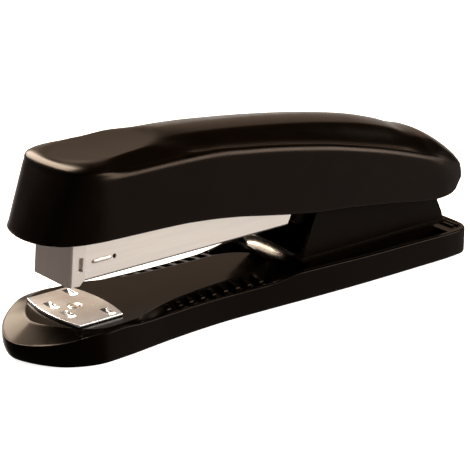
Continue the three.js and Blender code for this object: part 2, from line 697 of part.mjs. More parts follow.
/** One ring of the side skirt. rise runs from 0 at the lower edge to 1 at the shoulder. */
function skirtRing(rise, inward, drop) {
  return coverOutline.map((p) => {
    const nose = noseShare(p.x);
    const tail = tailShare(p.x);
    const tuck = TAIL_TUCK * Math.max(0, 0.5 - rise) * 2;
    const x = p.x + nose * (NOSE_DRAFT * rise + inward) - tail * (tuck + inward);
    const y = p.y * (1 - 0.06 * rise - inward / COVER_HALF);
    return { x, y, z: THREE.MathUtils.lerp(lowerEdge(p.x), shoulder(p.x), rise) - drop };
  });
}

/** The thumb pad: a flat oval worked into the crown, level with it at a rolled edge. */
function padHeight(x, y, z) {
  const e = Math.hypot((x - PAD_X) / PAD_HALF_X, y / PAD_HALF_Y);
  const flat = PAD_Z + PAD_SLOPE * (x - PAD_X);
  return THREE.MathUtils.lerp(flat, z, THREE.MathUtils.smoothstep(e, 0.975, 1.15));
}

/** One ring of the crown. share runs from 0 at the shoulder to 1 on the spine. */
function crownRing(share, inward, drop) {
  return skirtRing(1, inward, 0).map((p, i) => {
    const place = coverOutline[i].x;
    const spineX = THREE.MathUtils.clamp(p.x, SPINE_FRONT, SPINE_REAR);
    const arch = (1 - (1 - share) ** CROWN_ROUNDNESS) ** (1 / CROWN_ROUNDNESS);
    const x = THREE.MathUtils.lerp(p.x, spineX, share);
    const y = p.y * (1 - share);
    return { x, y, z: padHeight(x, y, THREE.MathUtils.lerp(shoulder(place), ridge(spineX), arch)) - drop };
  });
}

const CROWN_STEPS = [0.05, 0.12, 0.19, 0.26, 0.33, 0.4, 0.48, 0.58, 0.7, 0.82, 0.92, 1];

function coverShell() {
  const inner = [...CROWN_STEPS].reverse().map((share) => crownRing(share, COVER_WALL, COVER_WALL));
  const outer = CROWN_STEPS.map((share) => crownRing(share, 0, 0));
  const shell = skin([
    ...inner,
    skirtRing(0.85, COVER_WALL, 0),
    skirtRing(0.4, COVER_WALL, 0),
    skirtRing(0, COVER_WALL, 0),
    skirtRing(0, 0.3, 0),
    skirtRing(0.06, 0, 0),
    skirtRing(0.5, 0, 0),
    skirtRing(0.97, 0, 0),
    ...outer,
  ], {});
  const bosses = COVER_SCREWS.map((x) => common(
    rodZ(x, 0, SCREW_BOSS_R, frameTop(x) + 0.8, 60, 20),
    skin([
      ...[0, 0.4, 0.97].map((rise) => skirtRing(rise, 1, 0)),
      ...CROWN_STEPS.map((share) => crownRing(share, 1, 1)),
    ], { bottom: true }),
  ));
  const bores = COVER_SCREWS.map((x) => rodZ(x, 0, SCREW_HOLE_R, 10, frameTop(x) + 3.6, SMALL_ROUND));
  const tailNotch = block(121, 135, -11.2, 11.2, 10, 30.5);
  return cut(join(shell, ...bosses), ...bores, tailNotch);
}

// ---------------------------------------------------------------- cover frame and driver

const frameTop = along([
  [-3, 47.4], [8, 48.5], [30, 47.6], [60, 43.9], [90, 38.6], [104, 34.6], [112, 31.2],
]);

/** Steel channel under the crown, with two ears that reach down to the pivot pin. */
function coverFrame() {
  const stations = [-3, 8, 30, 60, 90, 104, 112];
  const top = stations.map((x) => [x, frameTop(x)]);
  const shape = new THREE.Shape();
  shape.moveTo(-3, frameTop(-3) - 2.4);
  top.forEach(([x, z]) => shape.lineTo(x, z));
  shape.absarc(HINGE_X, HINGE_Z, 5.2, 1.3, -2.4, true);
  shape.lineTo(104, 27.0);
  shape.lineTo(90, frameTop(90) - 5.4);
  shape.lineTo(60, frameTop(60) - 5.2);
  shape.lineTo(30, frameTop(30) - 4.6);
  shape.lineTo(8, frameTop(8) - 4);
  const inner = FRAME_HALF - FRAME_WALL;
  const below = shapeOf([[-5, 0], ...top.map(([x, z]) => [x, z - 1.0]), [111.5, 0]]);
  const behind = block(111, 130, -inner, inner, 0, 50);
  return cut(
    acrossY(shape, -FRAME_HALF, FRAME_HALF),
    acrossY(below, -inner, inner),
    block(-6, -2.9, -inner, inner, 0, frameTop(-3) - 1),
    behind,
    rodY(HINGE_X, HINGE_Z, PIN_HOLE_R, -15, 15),
    ...COVER_SCREWS.map((x) => rodZ(x, 0, SCREW_HOLE_R, 30, 60, SMALL_ROUND)),
    rodZ(DRIVER_RIVET_X, 0, DRIVER_RIVET_HOLE_R, 40, 60, SMALL_ROUND),
  );
}

add('cover_shell', coverShell(), 'blackPlastic');
add('cover_frame', coverFrame(), 'darkSteel');

COVER_SCREWS.forEach((x, i) => {
  const under = frameTop(x) - 2.4;
  add(`cover_screw_${i === 0 ? 'front' : 'rear'}`, new THREE.LatheGeometry([
    [0, under - 1.4], [1.6, under - 1.4], [2.3, under - 0.8], [2.3, under], [1.1, under],
    [1.1, under + 5.0], [0, under + 5.6],
  ].map(([r, z]) => new THREE.Vector2(r, z)), SMALL_ROUND).rotateX(Math.PI / 2).translate(x, 0, 0), 'darkSteel');
});

/** Driver: flat blade over the first staple, bent back under the frame and riveted there. */
function driverBlade() {
  const lean = Math.tan(THREE.MathUtils.degToRad(6.9));
  const foot = 28.5;
  const top = 45.0;
  const front = (z) => -5.2 + lean * (z - foot);
  const side = shapeOf([
    [front(foot), foot], [front(foot) + 0.5, foot], [front(top - 0.5) + 0.5, top - 0.5], [6, top - 0.5],
    [6, top], [front(top), top],
  ]);
  return cut(acrossY(side, -6.1, 6.1), rodZ(DRIVER_RIVET_X, 0, DRIVER_RIVET_HOLE_R, 40, 50, SMALL_ROUND));
}

add('driver_blade', driverBlade(), 'springSteel');
add('driver_rivet', rivet(DRIVER_RIVET_X, 1.0, 2.0, 43.2, 44.4, 48.3, 49.0), 'darkSteel');

// ---------------------------------------------------------------- the whole stapler

assembly.position.x = -ANVIL_TO_MIDDLE;

const stapler = new THREE.Group();
stapler.add(assembly);

export default stapler;
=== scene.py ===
import math

import bmesh
import bpy
from mathutils import Matrix, Vector


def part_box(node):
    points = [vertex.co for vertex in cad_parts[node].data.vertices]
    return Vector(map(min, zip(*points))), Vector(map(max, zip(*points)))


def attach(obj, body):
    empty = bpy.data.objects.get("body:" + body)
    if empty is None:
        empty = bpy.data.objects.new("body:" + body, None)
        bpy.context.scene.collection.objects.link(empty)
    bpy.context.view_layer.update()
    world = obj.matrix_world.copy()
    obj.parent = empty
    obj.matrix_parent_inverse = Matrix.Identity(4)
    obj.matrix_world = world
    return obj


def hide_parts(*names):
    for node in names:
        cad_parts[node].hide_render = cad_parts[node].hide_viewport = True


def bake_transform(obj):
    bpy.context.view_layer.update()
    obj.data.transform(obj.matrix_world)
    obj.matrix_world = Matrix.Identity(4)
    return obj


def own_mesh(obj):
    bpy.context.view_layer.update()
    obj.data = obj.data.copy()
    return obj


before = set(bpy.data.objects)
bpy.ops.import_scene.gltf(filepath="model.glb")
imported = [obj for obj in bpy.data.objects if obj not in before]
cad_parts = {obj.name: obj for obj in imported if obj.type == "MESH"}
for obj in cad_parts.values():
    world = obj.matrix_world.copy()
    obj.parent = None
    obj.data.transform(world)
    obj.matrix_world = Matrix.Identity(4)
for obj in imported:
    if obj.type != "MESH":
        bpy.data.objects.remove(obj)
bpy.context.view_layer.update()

# ------------------------------------------------------------------ where things are
# Shapes are written in millimetres from the anvil's centre on the table: x back, y across, z up.

MM = 0.001
_lo, _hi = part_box("anvil_plate")
ANVIL_X = (_lo.x + _hi.x) / 2


def mm_box(node):
    """A CAD node's box in millimetres from the anvil's centre."""
    lo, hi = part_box(node)
    shift = Vector((ANVIL_X, 0, 0))
    return (lo - shift) / MM, (hi - shift) / MM


def place(p):
    return Vector((ANVIL_X + p[0] * MM, p[1] * MM, p[2] * MM))


base_lo, base_hi = mm_box("base_shell")
mag_lo, mag_hi = mm_box("magazine_sheath")
plate_hi = mm_box("front_plate")[1]
anvil_lo, anvil_hi = mm_box("anvil_plate")
bracket_lo, bracket_hi = mm_box("hinge_bracket")
strip_lo, strip_hi = mm_box("staple_strip")
spring_hi = mm_box("return_spring")[1]
pin_lo, pin_hi = mm_box("pivot_pin")

DECK = base_hi.z
HINGE_X = (pin_lo.x + pin_hi.x) / 2
HINGE_Z = (pin_lo.z + pin_hi.z) / 2


# ------------------------------------------------------------------ curves and outlines

def curve(pairs):
    """A smooth, never overshooting function through (x, value) pairs, level past the ends."""
    xs = [p[0] for p in pairs]
    ys = [p[1] for p in pairs]
    n = len(xs)
    rise = [(ys[i + 1] - ys[i]) / (xs[i + 1] - xs[i]) for i in range(n - 1)]
    slope = [0.0] * n
    for i in range(1, n - 1):
        a, b = rise[i - 1], rise[i]
        slope[i] = 0.0 if a * b <= 0 else 2 * a * b / (a + b)
    slope[0], slope[-1] = rise[0], rise[-1]

    def at(x):
        if x <= xs[0]:
            return ys[0]
        if x >= xs[-1]:
            return ys[-1]
        i = next(k for k in range(n - 1) if x <= xs[k + 1])
        h = xs[i + 1] - xs[i]
        t = (x - xs[i]) / h
        return ((2 * t ** 3 - 3 * t ** 2 + 1) * ys[i] + (t ** 3 - 2 * t ** 2 + t) * h * slope[i]
                + (3 * t ** 2 - 2 * t ** 3) * ys[i + 1] + (t ** 3 - t ** 2) * h * slope[i + 1])

    return at


def smooth(a, b, x):
    t = min(1.0, max(0.0, (x - a) / (b - a)))
    return t * t * (3 - 2 * t)


def mix(a, b, t):
    return a + (b - a) * t


def catmull(points, closed, steps):
    """Centripetal Catmull-Rom samples through 2-D points."""
    n = len(points)
    pts = [Vector(p) for p in points]
    spans = n if closed else n - 1
    out = []
    for i in range(spans):
        p1, p2 = pts[i % n], pts[(i + 1) % n]
        p0 = pts[(i - 1) % n] if closed or i > 0 else p1 * 2 - p2
        p3 = pts[(i + 2) % n] if closed or i + 2 < n else p2 * 2 - p1
        d0, d1, d2 = [max(1e-6, (b - a).length ** 0.5) for a, b in ((p0, p1), (p1, p2), (p2, p3))]
        m1 = ((p1 - p0) / d0 - (p2 - p0) / (d0 + d1) + (p2 - p1) / d1) * d1
        m2 = ((p2 - p1) / d1 - (p3 - p1) / (d1 + d2) + (p3 - p2) / d2) * d1
        for k in range(steps):
            t = k / steps
            out.append(p1 * (2 * t ** 3 - 3 * t ** 2 + 1) + m1 * (t ** 3 - 2 * t ** 2 + t)
                       + p2 * (3 * t ** 2 - 2 * t ** 3) + m2 * (t ** 3 - t ** 2))
    if not closed:
        out.append(pts[-1])
    return out


def spaced(points, count):
    """`count` points evenly spread along an open line."""
    length = [0.0]
    for a, b in zip(points, points[1:]):
        length.append(length[-1] + (b - a).length)
    out = []
    k = 0
    for i in range(count):
        want = length[-1] * i / (count - 1)
        while k < len(points) - 2 and length[k + 1] < want:
            k += 1
        t = (want - length[k]) / max(1e-9, length[k + 1] - length[k])
        out.append(points[k].lerp(points[k + 1], min(1.0, t)))
    return out


def plan_outline(half, count):
    """A closed outline that mirrors itself in y, from (x, y) points front to rear; 2 * count points."""
    loop = half + [(x, -y) for x, y in reversed(half[1:-1])]
    fine = catmull(loop, True, 12)
    fine = fine[: 12 * (len(half) - 1) + 1]
    upper = spaced(fine, count + 1)
    upper[0].y = 0
    upper[-1].y = 0
    return upper + [Vector((p.x, -p.y)) for p in reversed(upper[1:-1])]


def normals_of(points):
    """Outward unit normals of a closed outline that starts at the front and runs along +y first."""
    out = []
    n = len(points)
    for i in range(n):
        d = points[(i + 1) % n] - points[i - 1]
        out.append(Vector((-d.y, d.x)).normalized())
    return out


def inset(points, distance):
    far = distance if callable(distance) else (lambda x: distance)
    return [p - m * far(p.x) for p, m in zip(points, normals_of(points))]


# ------------------------------------------------------------------ mesh helpers

def mesh_object(name, verts, faces):
    """A mesh object from millimetre points."""
    mesh = bpy.data.meshes.new(name)
    mesh.from_pydata([place(v) for v in verts], [], faces)
    mesh.validate()
    bm = bmesh.new()
    bm.from_mesh(mesh)
    bmesh.ops.remove_doubles(bm, verts=bm.verts, dist=1e-7)
    bmesh.ops.recalc_face_normals(bm, faces=bm.faces)
    bm.to_mesh(mesh)
    bm.free()
    obj = bpy.data.objects.new(name, mesh)
    bpy.context.scene.collection.objects.link(obj)
    return obj


def ring_walls(rings):
    """Quads between neighbouring rings."""
    n = len(rings[0])
    faces = []
    for r in range(len(rings) - 1):
        for i in range(n):
            a, b = r * n + i, r * n + (i + 1) % n
            faces.append((a, b, b + n, a + n))
    return faces


def loft(name, rings, cap_first=True, cap_last=True):
    """Skins closed rings of points; each end is closed by one flat face or left open."""
    n = len(rings[0])
    verts = [p for ring in rings for p in ring]
    faces = ring_walls(rings)
    if cap_first:
        faces.append(tuple(reversed(range(n))))
    if cap_last:
        faces.append(tuple(range((len(rings) - 1) * n, len(rings) * n)))
    return mesh_object(name, verts, faces)


def prism_verts(points, axis, lo, hi):
    """Side profile in x and z spread along y (axis 'y'), plan along z, or section in y and z along x."""
    if axis == "y":
        return [[(p[0], v, p[1]) for p in points] for v in (lo, hi)]
    if axis == "z":
        return [[(p[0], p[1], v) for p in points] for v in (lo, hi)]
    return [[(v, p[0], p[1]) for p in points] for v in (lo, hi)]


def prism(name, points, axis, lo, hi):
    return loft(name, prism_verts(points, axis, lo, hi))


def box(name, x0, x1, y0, y1, z0, z1):
    return prism(name, [(x0, y0), (x1, y0), (x1, y1), (x0, y1)], "z", z0, z1)


def arc(cx, cy, r, a0, a1, count):
    """Points of an arc, angles in degrees."""
    return [(cx + r * math.cos(math.radians(mix(a0, a1, k / count))),
             cy + r * math.sin(math.radians(mix(a0, a1, k / count)))) for k in range(count + 1)]


def rod(name, axis, a, b, r, lo, hi, sides=48):
    return prism(name, arc(a, b, r, 0, 360 - 360 / sides, sides - 1), axis, lo, hi)


def settle(obj):
    """Applies every modifier by taking the evaluated mesh."""
    bpy.context.view_layer.update()
    mesh = bpy.data.meshes.new_from_object(obj.evaluated_get(bpy.context.evaluated_depsgraph_get()))
    old = obj.data
    obj.modifiers.clear()
    obj.data = mesh
    bpy.data.meshes.remove(old)
    return obj


def drop(*objs):
    for o in objs:
        bpy.data.objects.remove(o, do_unlink=True)


def joined(name, objs):
    """One mesh that holds several, without any boolean."""
    bm = bmesh.new()
    for o in objs:
        bm.from_mesh(o.data)
    mesh = bpy.data.meshes.new(name)
    bm.to_mesh(mesh)
    bm.free()
    drop(*objs)
    obj = bpy.data.objects.new(name, mesh)
    bpy.context.scene.collection.objects.link(obj)
    return obj


def boolean(obj, tools, operation="DIFFERENCE"):
    tool = joined("tool", tools) if len(tools) > 1 else tools[0]
    m = obj.modifiers.new("cut", "BOOLEAN")
    m.object = tool
    m.operation = operation
    m.solver = "EXACT"
    m.use_self = len(tools) > 1
    settle(obj)
    drop(tool)
    return obj


def bevel(obj, width, segments=2, angle=32):
    """Rounds every sharp edge; width in millimetres."""
    m = obj.modifiers.new("bevel", "BEVEL")
    m.width = width * MM
    m.segments = segments
    m.limit_method = "ANGLE"
    m.angle_limit = math.radians(angle)
    m.use_clamp_overlap = True
    m.miter_outer = "MITER_ARC"
    return settle(obj)


def shade(obj, angle=38, weighted=True):
    """Smooth shading that breaks at real edges; large flat faces keep their own direction."""
    for p in obj.data.polygons:
        p.use_smooth = True
    obj.data.set_sharp_from_angle(angle=math.radians(angle))
    if weighted:
        m = obj.modifiers.new("weighted", "WEIGHTED_NORMAL")
        m.keep_sharp = True
        m.weight = 60
        settle(obj)
    return obj


def piece(obj, body, slot, material, *nodes):
    obj.data.materials.clear()
    obj.data.materials.append(material)
    if nodes:
        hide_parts(*nodes)
    if body:
        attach(obj, body)
    return obj


# ------------------------------------------------------------------ materials

def nodes_of(name):
    material = bpy.data.materials.new(name)
    material.use_nodes = True
    tree = material.node_tree
    tree.nodes.clear()
    out = tree.nodes.new("ShaderNodeOutputMaterial")
    shader = tree.nodes.new("ShaderNodeBsdfPrincipled")
    tree.links.new(shader.outputs["BSDF"], out.inputs["Surface"])
    return material, tree, shader


def noise(tree, scale, detail=4.0, stretch=(1, 1, 1), roughness=0.55):
    coords = tree.nodes.new("ShaderNodeTexCoord")
    mapping = tree.nodes.new("ShaderNodeMapping")
    mapping.inputs["Scale"].default_value = stretch
    texture = tree.nodes.new("ShaderNodeTexNoise")
    texture.inputs["Scale"].default_value = scale
    texture.inputs["Detail"].default_value = detail
    texture.inputs["Roughness"].default_value = roughness
    tree.links.new(coords.outputs["Object"], mapping.inputs["Vector"])
    tree.links.new(mapping.outputs["Vector"], texture.inputs["Vector"])
    return texture.outputs["Fac"]


def ramp(tree, factor, stops):
    node = tree.nodes.new("ShaderNodeValToRGB")
    while len(node.color_ramp.elements) < len(stops):
        node.color_ramp.elements.new(0.5)
    for element, (at, colour) in zip(node.color_ramp.elements, stops):
        element.position = at
        element.color = (*colour, 1.0)
    tree.links.new(factor, node.inputs["Fac"])
    return node.outputs["Color"]


def spread(tree, factor, low, high, start=0.3, end=0.7):
    node = tree.nodes.new("ShaderNodeMapRange")
    node.inputs["From Min"].default_value = start
    node.inputs["From Max"].default_value = end
    node.inputs["To Min"].default_value = low
    node.inputs["To Max"].default_value = high
    tree.links.new(factor, node.inputs["Value"])
    return node.outputs["Result"]


def bump(tree, shader, height, strength, distance):
    node = tree.nodes.new("ShaderNodeBump")
    node.inputs["Strength"].default_value = strength
    node.inputs["Distance"].default_value = distance
    tree.links.new(height, node.inputs["Height"])
    tree.links.new(node.outputs["Normal"], shader.inputs["Normal"])


def plastic(name, dark, light, rough, ior, grain_scale, grain_depth, tint=(1, 1, 1)):
    """Moulded plastic: slow tone and gloss changes, a fine spark-eroded grain."""
    material, tree, shader = nodes_of(name)
    slow = noise(tree, 45, 3)
    tree.links.new(ramp(tree, slow, [(0.3, dark), (0.7, light)]), shader.inputs["Base Color"])
    tree.links.new(spread(tree, noise(tree, 160, 5), rough - 0.04, rough + 0.05), shader.inputs["Roughness"])
    shader.inputs["IOR"].default_value = ior
    shader.inputs["Specular Tint"].default_value = (*tint, 1)
    bump(tree, shader, noise(tree, grain_scale, 3), grain_depth, 0.00004)
    return material


def metal(name, dark, light, rough, stretch, streak=0.25, scale=900):
    """Rolled sheet: fine streaks along the rolling direction, cloudy gloss."""
    material, tree, shader = nodes_of(name)
    shader.inputs["Metallic"].default_value = 1.0
    lines = noise(tree, scale, 4, stretch)
    tree.links.new(ramp(tree, lines, [(0.3, dark), (0.7, light)]), shader.inputs["Base Color"])
    tree.links.new(spread(tree, noise(tree, 120, 4), rough - 0.04, rough + 0.06), shader.inputs["Roughness"])
    bump(tree, shader, lines, streak, 0.00002)
    return material


ALONG_X = (0.04, 1, 1)
ALONG_Z = (1, 1, 0.04)
EVEN = (1, 1, 1)
cover_plastic = plastic("moulded_black", (0.0026, 0.0015, 0.0009), (0.0040, 0.0024, 0.0015),
                        0.23, 1.185, 2600, 0.08, (1.0, 0.80, 0.70))
base_plastic = plastic("moulded_black_base", (0.0016, 0.0010, 0.0006), (0.0026, 0.0016, 0.0010),
                       0.20, 1.14, 2600, 0.08, (1.0, 0.80, 0.66))
follower_plastic = plastic("follower_plastic", (0.010, 0.009, 0.008), (0.016, 0.014, 0.012),
                           0.4, 1.4, 2600, 0.2)
rubber = plastic("rubber_sole", (0.010, 0.010, 0.010), (0.018, 0.017, 0.016), 0.75, 1.4, 1800, 0.6)
black_steel = plastic("black_coated_steel", (0.0022, 0.0015, 0.0010), (0.0034, 0.0024, 0.0016),
                      0.30, 1.135, 3800, 0.15, (1.0, 0.82, 0.68))
bright_steel = metal("plated_steel", (0.82, 0.80, 0.77), (0.88, 0.86, 0.83), 0.30, ALONG_X)
anvil_steel = metal("anvil_steel", (0.65, 0.69, 0.74), (0.71, 0.75, 0.79), 0.24, ALONG_X)
dark_steel = metal("front_plate_steel", (0.76, 0.73, 0.71), (0.82, 0.79, 0.77), 0.34, ALONG_Z)
fixing_steel = metal("fixing_steel", (0.40, 0.37, 0.34), (0.52, 0.48, 0.44), 0.36, EVEN, 0.2, 500)
spring_steel = metal("spring_steel", (0.38, 0.34, 0.29), (0.48, 0.44, 0.38), 0.28, ALONG_X)
staple_steel = metal("staple_wire", (0.62, 0.61, 0.60), (0.80, 0.79, 0.77), 0.26, EVEN, 0.2, 700)


# ------------------------------------------------------------------ base

BASE_COUNT = 150
base_outline = plan_outline([
    (base_lo.x, 0), (-19.1, 4.8), (-16.1, 10.0), (-11.2, 14.6), (-4.3, 17.6), (4, 17.6), (20, 16.0),
    (37, 15.2), (53, 15.8), (69, 16.7), (87, 17.4), (105, 17.6), (121, 17.5), (126.6, 16.5),
    (129.4, 13.2), (130.2, 7), (base_hi.x, 0)], BASE_COUNT)
rim_height = curve([(-20, 5.0), (-13, 6.6), (-5, 8.3), (3, 8.6), (9, 8.0), (16, 7.7), (30, 7.6), (52, 7.4),
                    (58, 7.9), (64, 8.6), (74, 8.5), (90, 8.2), (107, 8.0), (124, 7.6), (131, 7.4)])
band_width = curve([(-20, 6.6), (-12, 5.6), (-5, 3.2), (2, 1.6), (8, 1.5), (9.5, 1.6), (14, 2.5), (20.8, 4.2),
                    (27, 5.1), (34, 5.6), (40, 5.9), (46, 6.4), (52, 6.9), (54.5, 7.2), (56.5, 1.4),
                    (131, 1.4)])
TRAY_FLOOR = 4.6
TRAY_WALL = 1.3
TRAY_FRONT = 54.0
REAR_FLOOR, REAR_FLOOR_X = 6.9, 122   # raised floor behind the bracket
RIDGES = (125.6, 127.4)               # cross ridges on it
RIDGE_WIDTH, RIDGE_TOP = 0.8, 7.4
PAD_Y, PAD_WIDTH = 8.2, 3.2           # long pads that carry the bracket's walls
RIB_COUNT, RIB_FIRST, RIB_PITCH, RIB_WIDTH = 9, 20.7, 3.94, 1.2
RIB_ROOT = 6.2                        # ribs start inside the band
SOLE_POCKET, SOLE_RECESS = 2.6, 1.7


def base_level(distance, height):
    far = distance if callable(distance) else (lambda x: distance)
    rise = height if callable(height) else (lambda x: height)
    return [(q.x, q.y, rise(p.x)) for p, q in zip(base_outline, inset(base_outline, far))]


def deck_top(x):
    return mix(DECK, rim_height(x) + 0.05, smooth(63.4, 66, x))


def scallop(x):
    """0 on the nose and along the tray, 1 where the deck falls to the rim in a cove."""
    return smooth(8, 15, x) * (1 - smooth(54, 57, x))


def band_ring(share, cove):
    """A ring on the way from the rim to the deck; cove is its height above the rim inside a scallop."""
    def height(x):
        plain = mix(mix(rim_height(x), deck_top(x), share), rim_height(x) + 0.03, smooth(54.5, 57, x))
        return mix(plain, rim_height(x) + cove, scallop(x))
    return base_level(lambda x: mix(0.55, band_width(x), share), height)


tongue_half = [(46, 8.9), (50, 8.9), (52, 8.8), (54, 8.55), (56, 8.0), (58.2, 7.0), (60.2, 5.6), (61.8, 3.9),
               (62.8, 2.0), (63.1, 0)]
tongue = catmull(tongue_half + [(x, -y) for x, y in reversed(tongue_half[:-1])], False, 5)
waist = curve([(10, 16.9), (20, 16.0), (37, 15.2), (53, 15.8)])


def rib_profile(x, side):
    """Section of a rib in y and z: flush with the deck, falling a little outwards, with a round end."""
    inner = waist(x) - band_width(x) - 0.8
    outer = waist(x) - 2.3
    pts = [(inner, RIB_ROOT), (inner, 8.92), (mix(inner, outer, 0.5), 8.72), (outer - 0.9, 8.42),
           (outer - 0.45, 8.28), (outer - 0.15, 8.02), (outer, 7.6), (outer, RIB_ROOT)]
    return [(y * side, z) for y, z in pts]


def across_cap(rings, first):
    """Closes a ring with strips that run across the object, so that a stepped top stays level across."""
    n = len(base_outline)
    start = 0 if first else (len(rings) - 1) * n
    faces = [(start, start + 1, start + n - 1), (start + n // 2 - 1, start + n // 2, start + n // 2 + 1)]
    for i in range(1, n // 2 - 1):
        faces.append((start + i, start + i + 1, start + n - i - 1, start + n - i))
    return faces


def loft_across(name, rings):
    """A loft of base outlines that is closed by across_cap at both ends."""
    verts = [p for ring in rings for p in ring]
    return mesh_object(name, verts, across_cap(rings, True) + across_cap(rings, False) + ring_walls(rings))


# Rings of the band: share of the way from rim to deck, and height above the rim where it is coved.
BAND = [(0, 0), (0.05, -0.1), (0.13, -0.42), (0.26, -0.72), (0.42, -0.52), (0.58, -0.05), (0.76, 0.6),
        (0.9, 1.13), (0.97, 1.34)]
# Rings of the wall's foot: inset, share of the nose's tuck added to it, and height over the table.
FOOT = [(0.55, 1.0, 0.02), (0.2, 0.9, 0.2), (0.05, 0.75, 0.5), (0.0, 0.5, 1.1), (0.0, 0.15, 2.2)]
# Rings of the rounded rim: inset, and height over the rim line.
RIM = [(0, -0.5), (0.04, -0.26), (0.14, -0.1), (0.3, -0.01), (0.42, 0.01)]


def nose_tuck(x):
    """How far the nose draws in at the table."""
    return 0.8 * smooth(-12, -20, x)


def foot_ring(distance, share, height):
    return base_level(lambda x: distance + share * nose_tuck(x), height)


def rim_ring(distance, over):
    return base_level(distance, lambda x: rim_height(x) + over)


def build_base():
    """Shell with a coved front band, ribs, a tray behind the deck's tongue and a pocket for the sole."""
    body = loft_across("base_body", [
        *[foot_ring(*row) for row in FOOT],
        base_level(0, lambda x: 0.6 * rim_height(x)),
        *[rim_ring(*row) for row in RIM],
        *[band_ring(*row) for row in BAND],
        base_level(lambda x: band_width(x) + 0.12, lambda x: deck_top(x) - 0.02),
        base_level(lambda x: band_width(x) + 0.45, deck_top)])
    wall = [p for p in inset(base_outline, TRAY_WALL) if p.y >= -1e-6 and p.x > TRAY_FRONT]
    inner = sorted(wall, key=lambda p: p.x)
    loop = [(TRAY_FRONT, inner[0].y)] + [(p.x, p.y) for p in inner]
    loop += [(p.x, -p.y) for p in reversed(inner) if p.y > 1e-6] + [(TRAY_FRONT, -inner[0].y)]
    void = prism("void", loop, "z", TRAY_FLOOR, DECK + 3)
    kept = []
    for side in (-1, 1):
        y = side * PAD_Y
        kept.append(box("keep", 72, 121, y - PAD_WIDTH / 2, y + PAD_WIDTH / 2, TRAY_FLOOR - 1, bracket_lo.z))
    kept.append(box("keep", 95, 120, -6, 6, TRAY_FLOOR - 1, bracket_lo.z))
    kept.append(box("keep", REAR_FLOOR_X, 135, -20, 20, TRAY_FLOOR - 1, REAR_FLOOR))
    for x in RIDGES:
        kept.append(box("keep", x, x + RIDGE_WIDTH, -12.5, 12.5, TRAY_FLOOR - 1, RIDGE_TOP))
    kept.append(prism("keep", [(p.x, p.y) for p in tongue], "z", TRAY_FLOOR - 1, DECK + 4))
    boolean(void, kept)
    boolean(body, [void])
    added = []
    for k in range(RIB_COUNT):
        x = RIB_FIRST + k * RIB_PITCH
        for side in (-1, 1):
            added.append(prism("rib", rib_profile(x, side), "x", x - RIB_WIDTH / 2, x + RIB_WIDTH / 2))
    boolean(body, added, "UNION")
    pocket = prism("pocket", [(p.x, p.y) for p in inset(base_outline, SOLE_POCKET)], "z", -1, SOLE_RECESS)
    boolean(body, [pocket])
    bevel(body, 0.24, 3, 40)
    return shade(body, 35)


piece(build_base(), "base", "black_plastic", base_plastic, "base_shell")


# ------------------------------------------------------------------ cover

COVER_COUNT = 150
cover_outline = plan_outline([
    (-16.1, 0), (-15.5, 4.8), (-14.1, 8.9), (-11.8, 12.0), (-8, 14.2), (-2, 15.4), (8, 15.6),
    (30, 15.7), (60, 15.8), (90, 15.9), (112, 15.9), (121.5, 15.6), (126.6, 14.3), (129.2, 11.2), (130, 6),
    (130.2, 0)], COVER_COUNT)
COVER_TIP, COVER_END, COVER_HALF = -16.1, 130.2, 15.6
lower_edge = curve([(-16, 31.8), (-10, 32.0), (-3.5, 31.9), (5, 31.7), (23, 31.2), (32, 30.5), (41.5, 29.3),
                    (51, 27.6), (61, 25.8), (71, 24.2), (81, 23.2), (97, 21.1), (117, 18.4), (122, 18.5),
                    (126, 19.3), (131, 21.0)])
shoulder = curve([(-17, 48.7), (-10, 48.9), (-2, 48.8), (5, 48.6), (18, 48.7), (28, 48.6), (37, 48.2),
                  (46, 47.1), (56, 45.7), (66, 44.0), (76, 42.1), (86, 39.8), (97, 37.0), (108, 33.6),
                  (114, 31.4), (119, 29.0), (125, 26.0), (131, 24.0)])
ridge = curve([(-3, 50.7), (1, 51.3), (6, 52.0), (12, 52.6), (18, 53.0), (24, 53.25), (30, 53.1), (40, 52.4),
               (52, 51.2), (64.5, 49.7), (77.5, 47.8), (86.4, 46.2), (95.5, 44.2), (104.8, 41.4), (110, 39.4),
               (115, 37.9), (120, 36.3), (125, 34.0), (131, 29.9)])
SPINE_FRONT, SPINE_REAR = 6, 115
NOSE_DRAFT, TAIL_TUCK, TAIL_BULGE = 7.2, 3.0, 0.75
SIDE_TAPER, SIDE_BELLY = 0.06, 0.011  # shares of the half width
WALL, CROWN_WALL = 2.0, 2.4           # thickness of the moulding
NOTCH = (121, 135, -11.2, 11.2, 10, 28.8)  # opening that clears the bracket when the cover is raised
roundness = curve([(-14, 3.0), (0, 3.0), (6, 2.5), (14, 1.9), (24, 1.6), (110, 1.6), (122, 2.0)])
bead = curve([(-7, 0.0), (0, 0.2), (6, 0.65), (12, 1.0), (92, 1.0), (108, 0.75), (118, 0.25), (124, 0.0)])
valley_share = curve([(22, 0.0), (36, 1.0), (100, 1.0), (114, 0.0)])


def nose_share(x):
    """0 behind the nose, 1 at its tip; tail_share does the same for the tail."""
    return min(1.0, max(0.0, (4 - x) / (4 - COVER_TIP))) ** 1.5


def tail_share(x):
    return min(1.0, max(0.0, (x - 112) / (COVER_END - 112))) ** 2


def skirt_point(p, rise, inward):
    """Point of the side wall over p: rise 0 at the lower edge and 1 at the shoulder, moved in by inward."""
    drawn_in = TAIL_TUCK * max(0.0, 0.5 - rise) * 2
    x = p.x + nose_share(p.x) * (NOSE_DRAFT * rise + inward) - tail_share(p.x) * (drawn_in + inward)
    belly = SIDE_BELLY * math.sin(math.pi * min(1.0, max(0.0, rise))) if inward < 1.4 else 0.0
    y = p.y * (1 - SIDE_TAPER * rise - inward / COVER_HALF + belly)
    x += TAIL_BULGE * tail_share(p.x) * max(0.0, rise)
    return Vector((x, y, mix(lower_edge(p.x), shoulder(p.x), rise)))


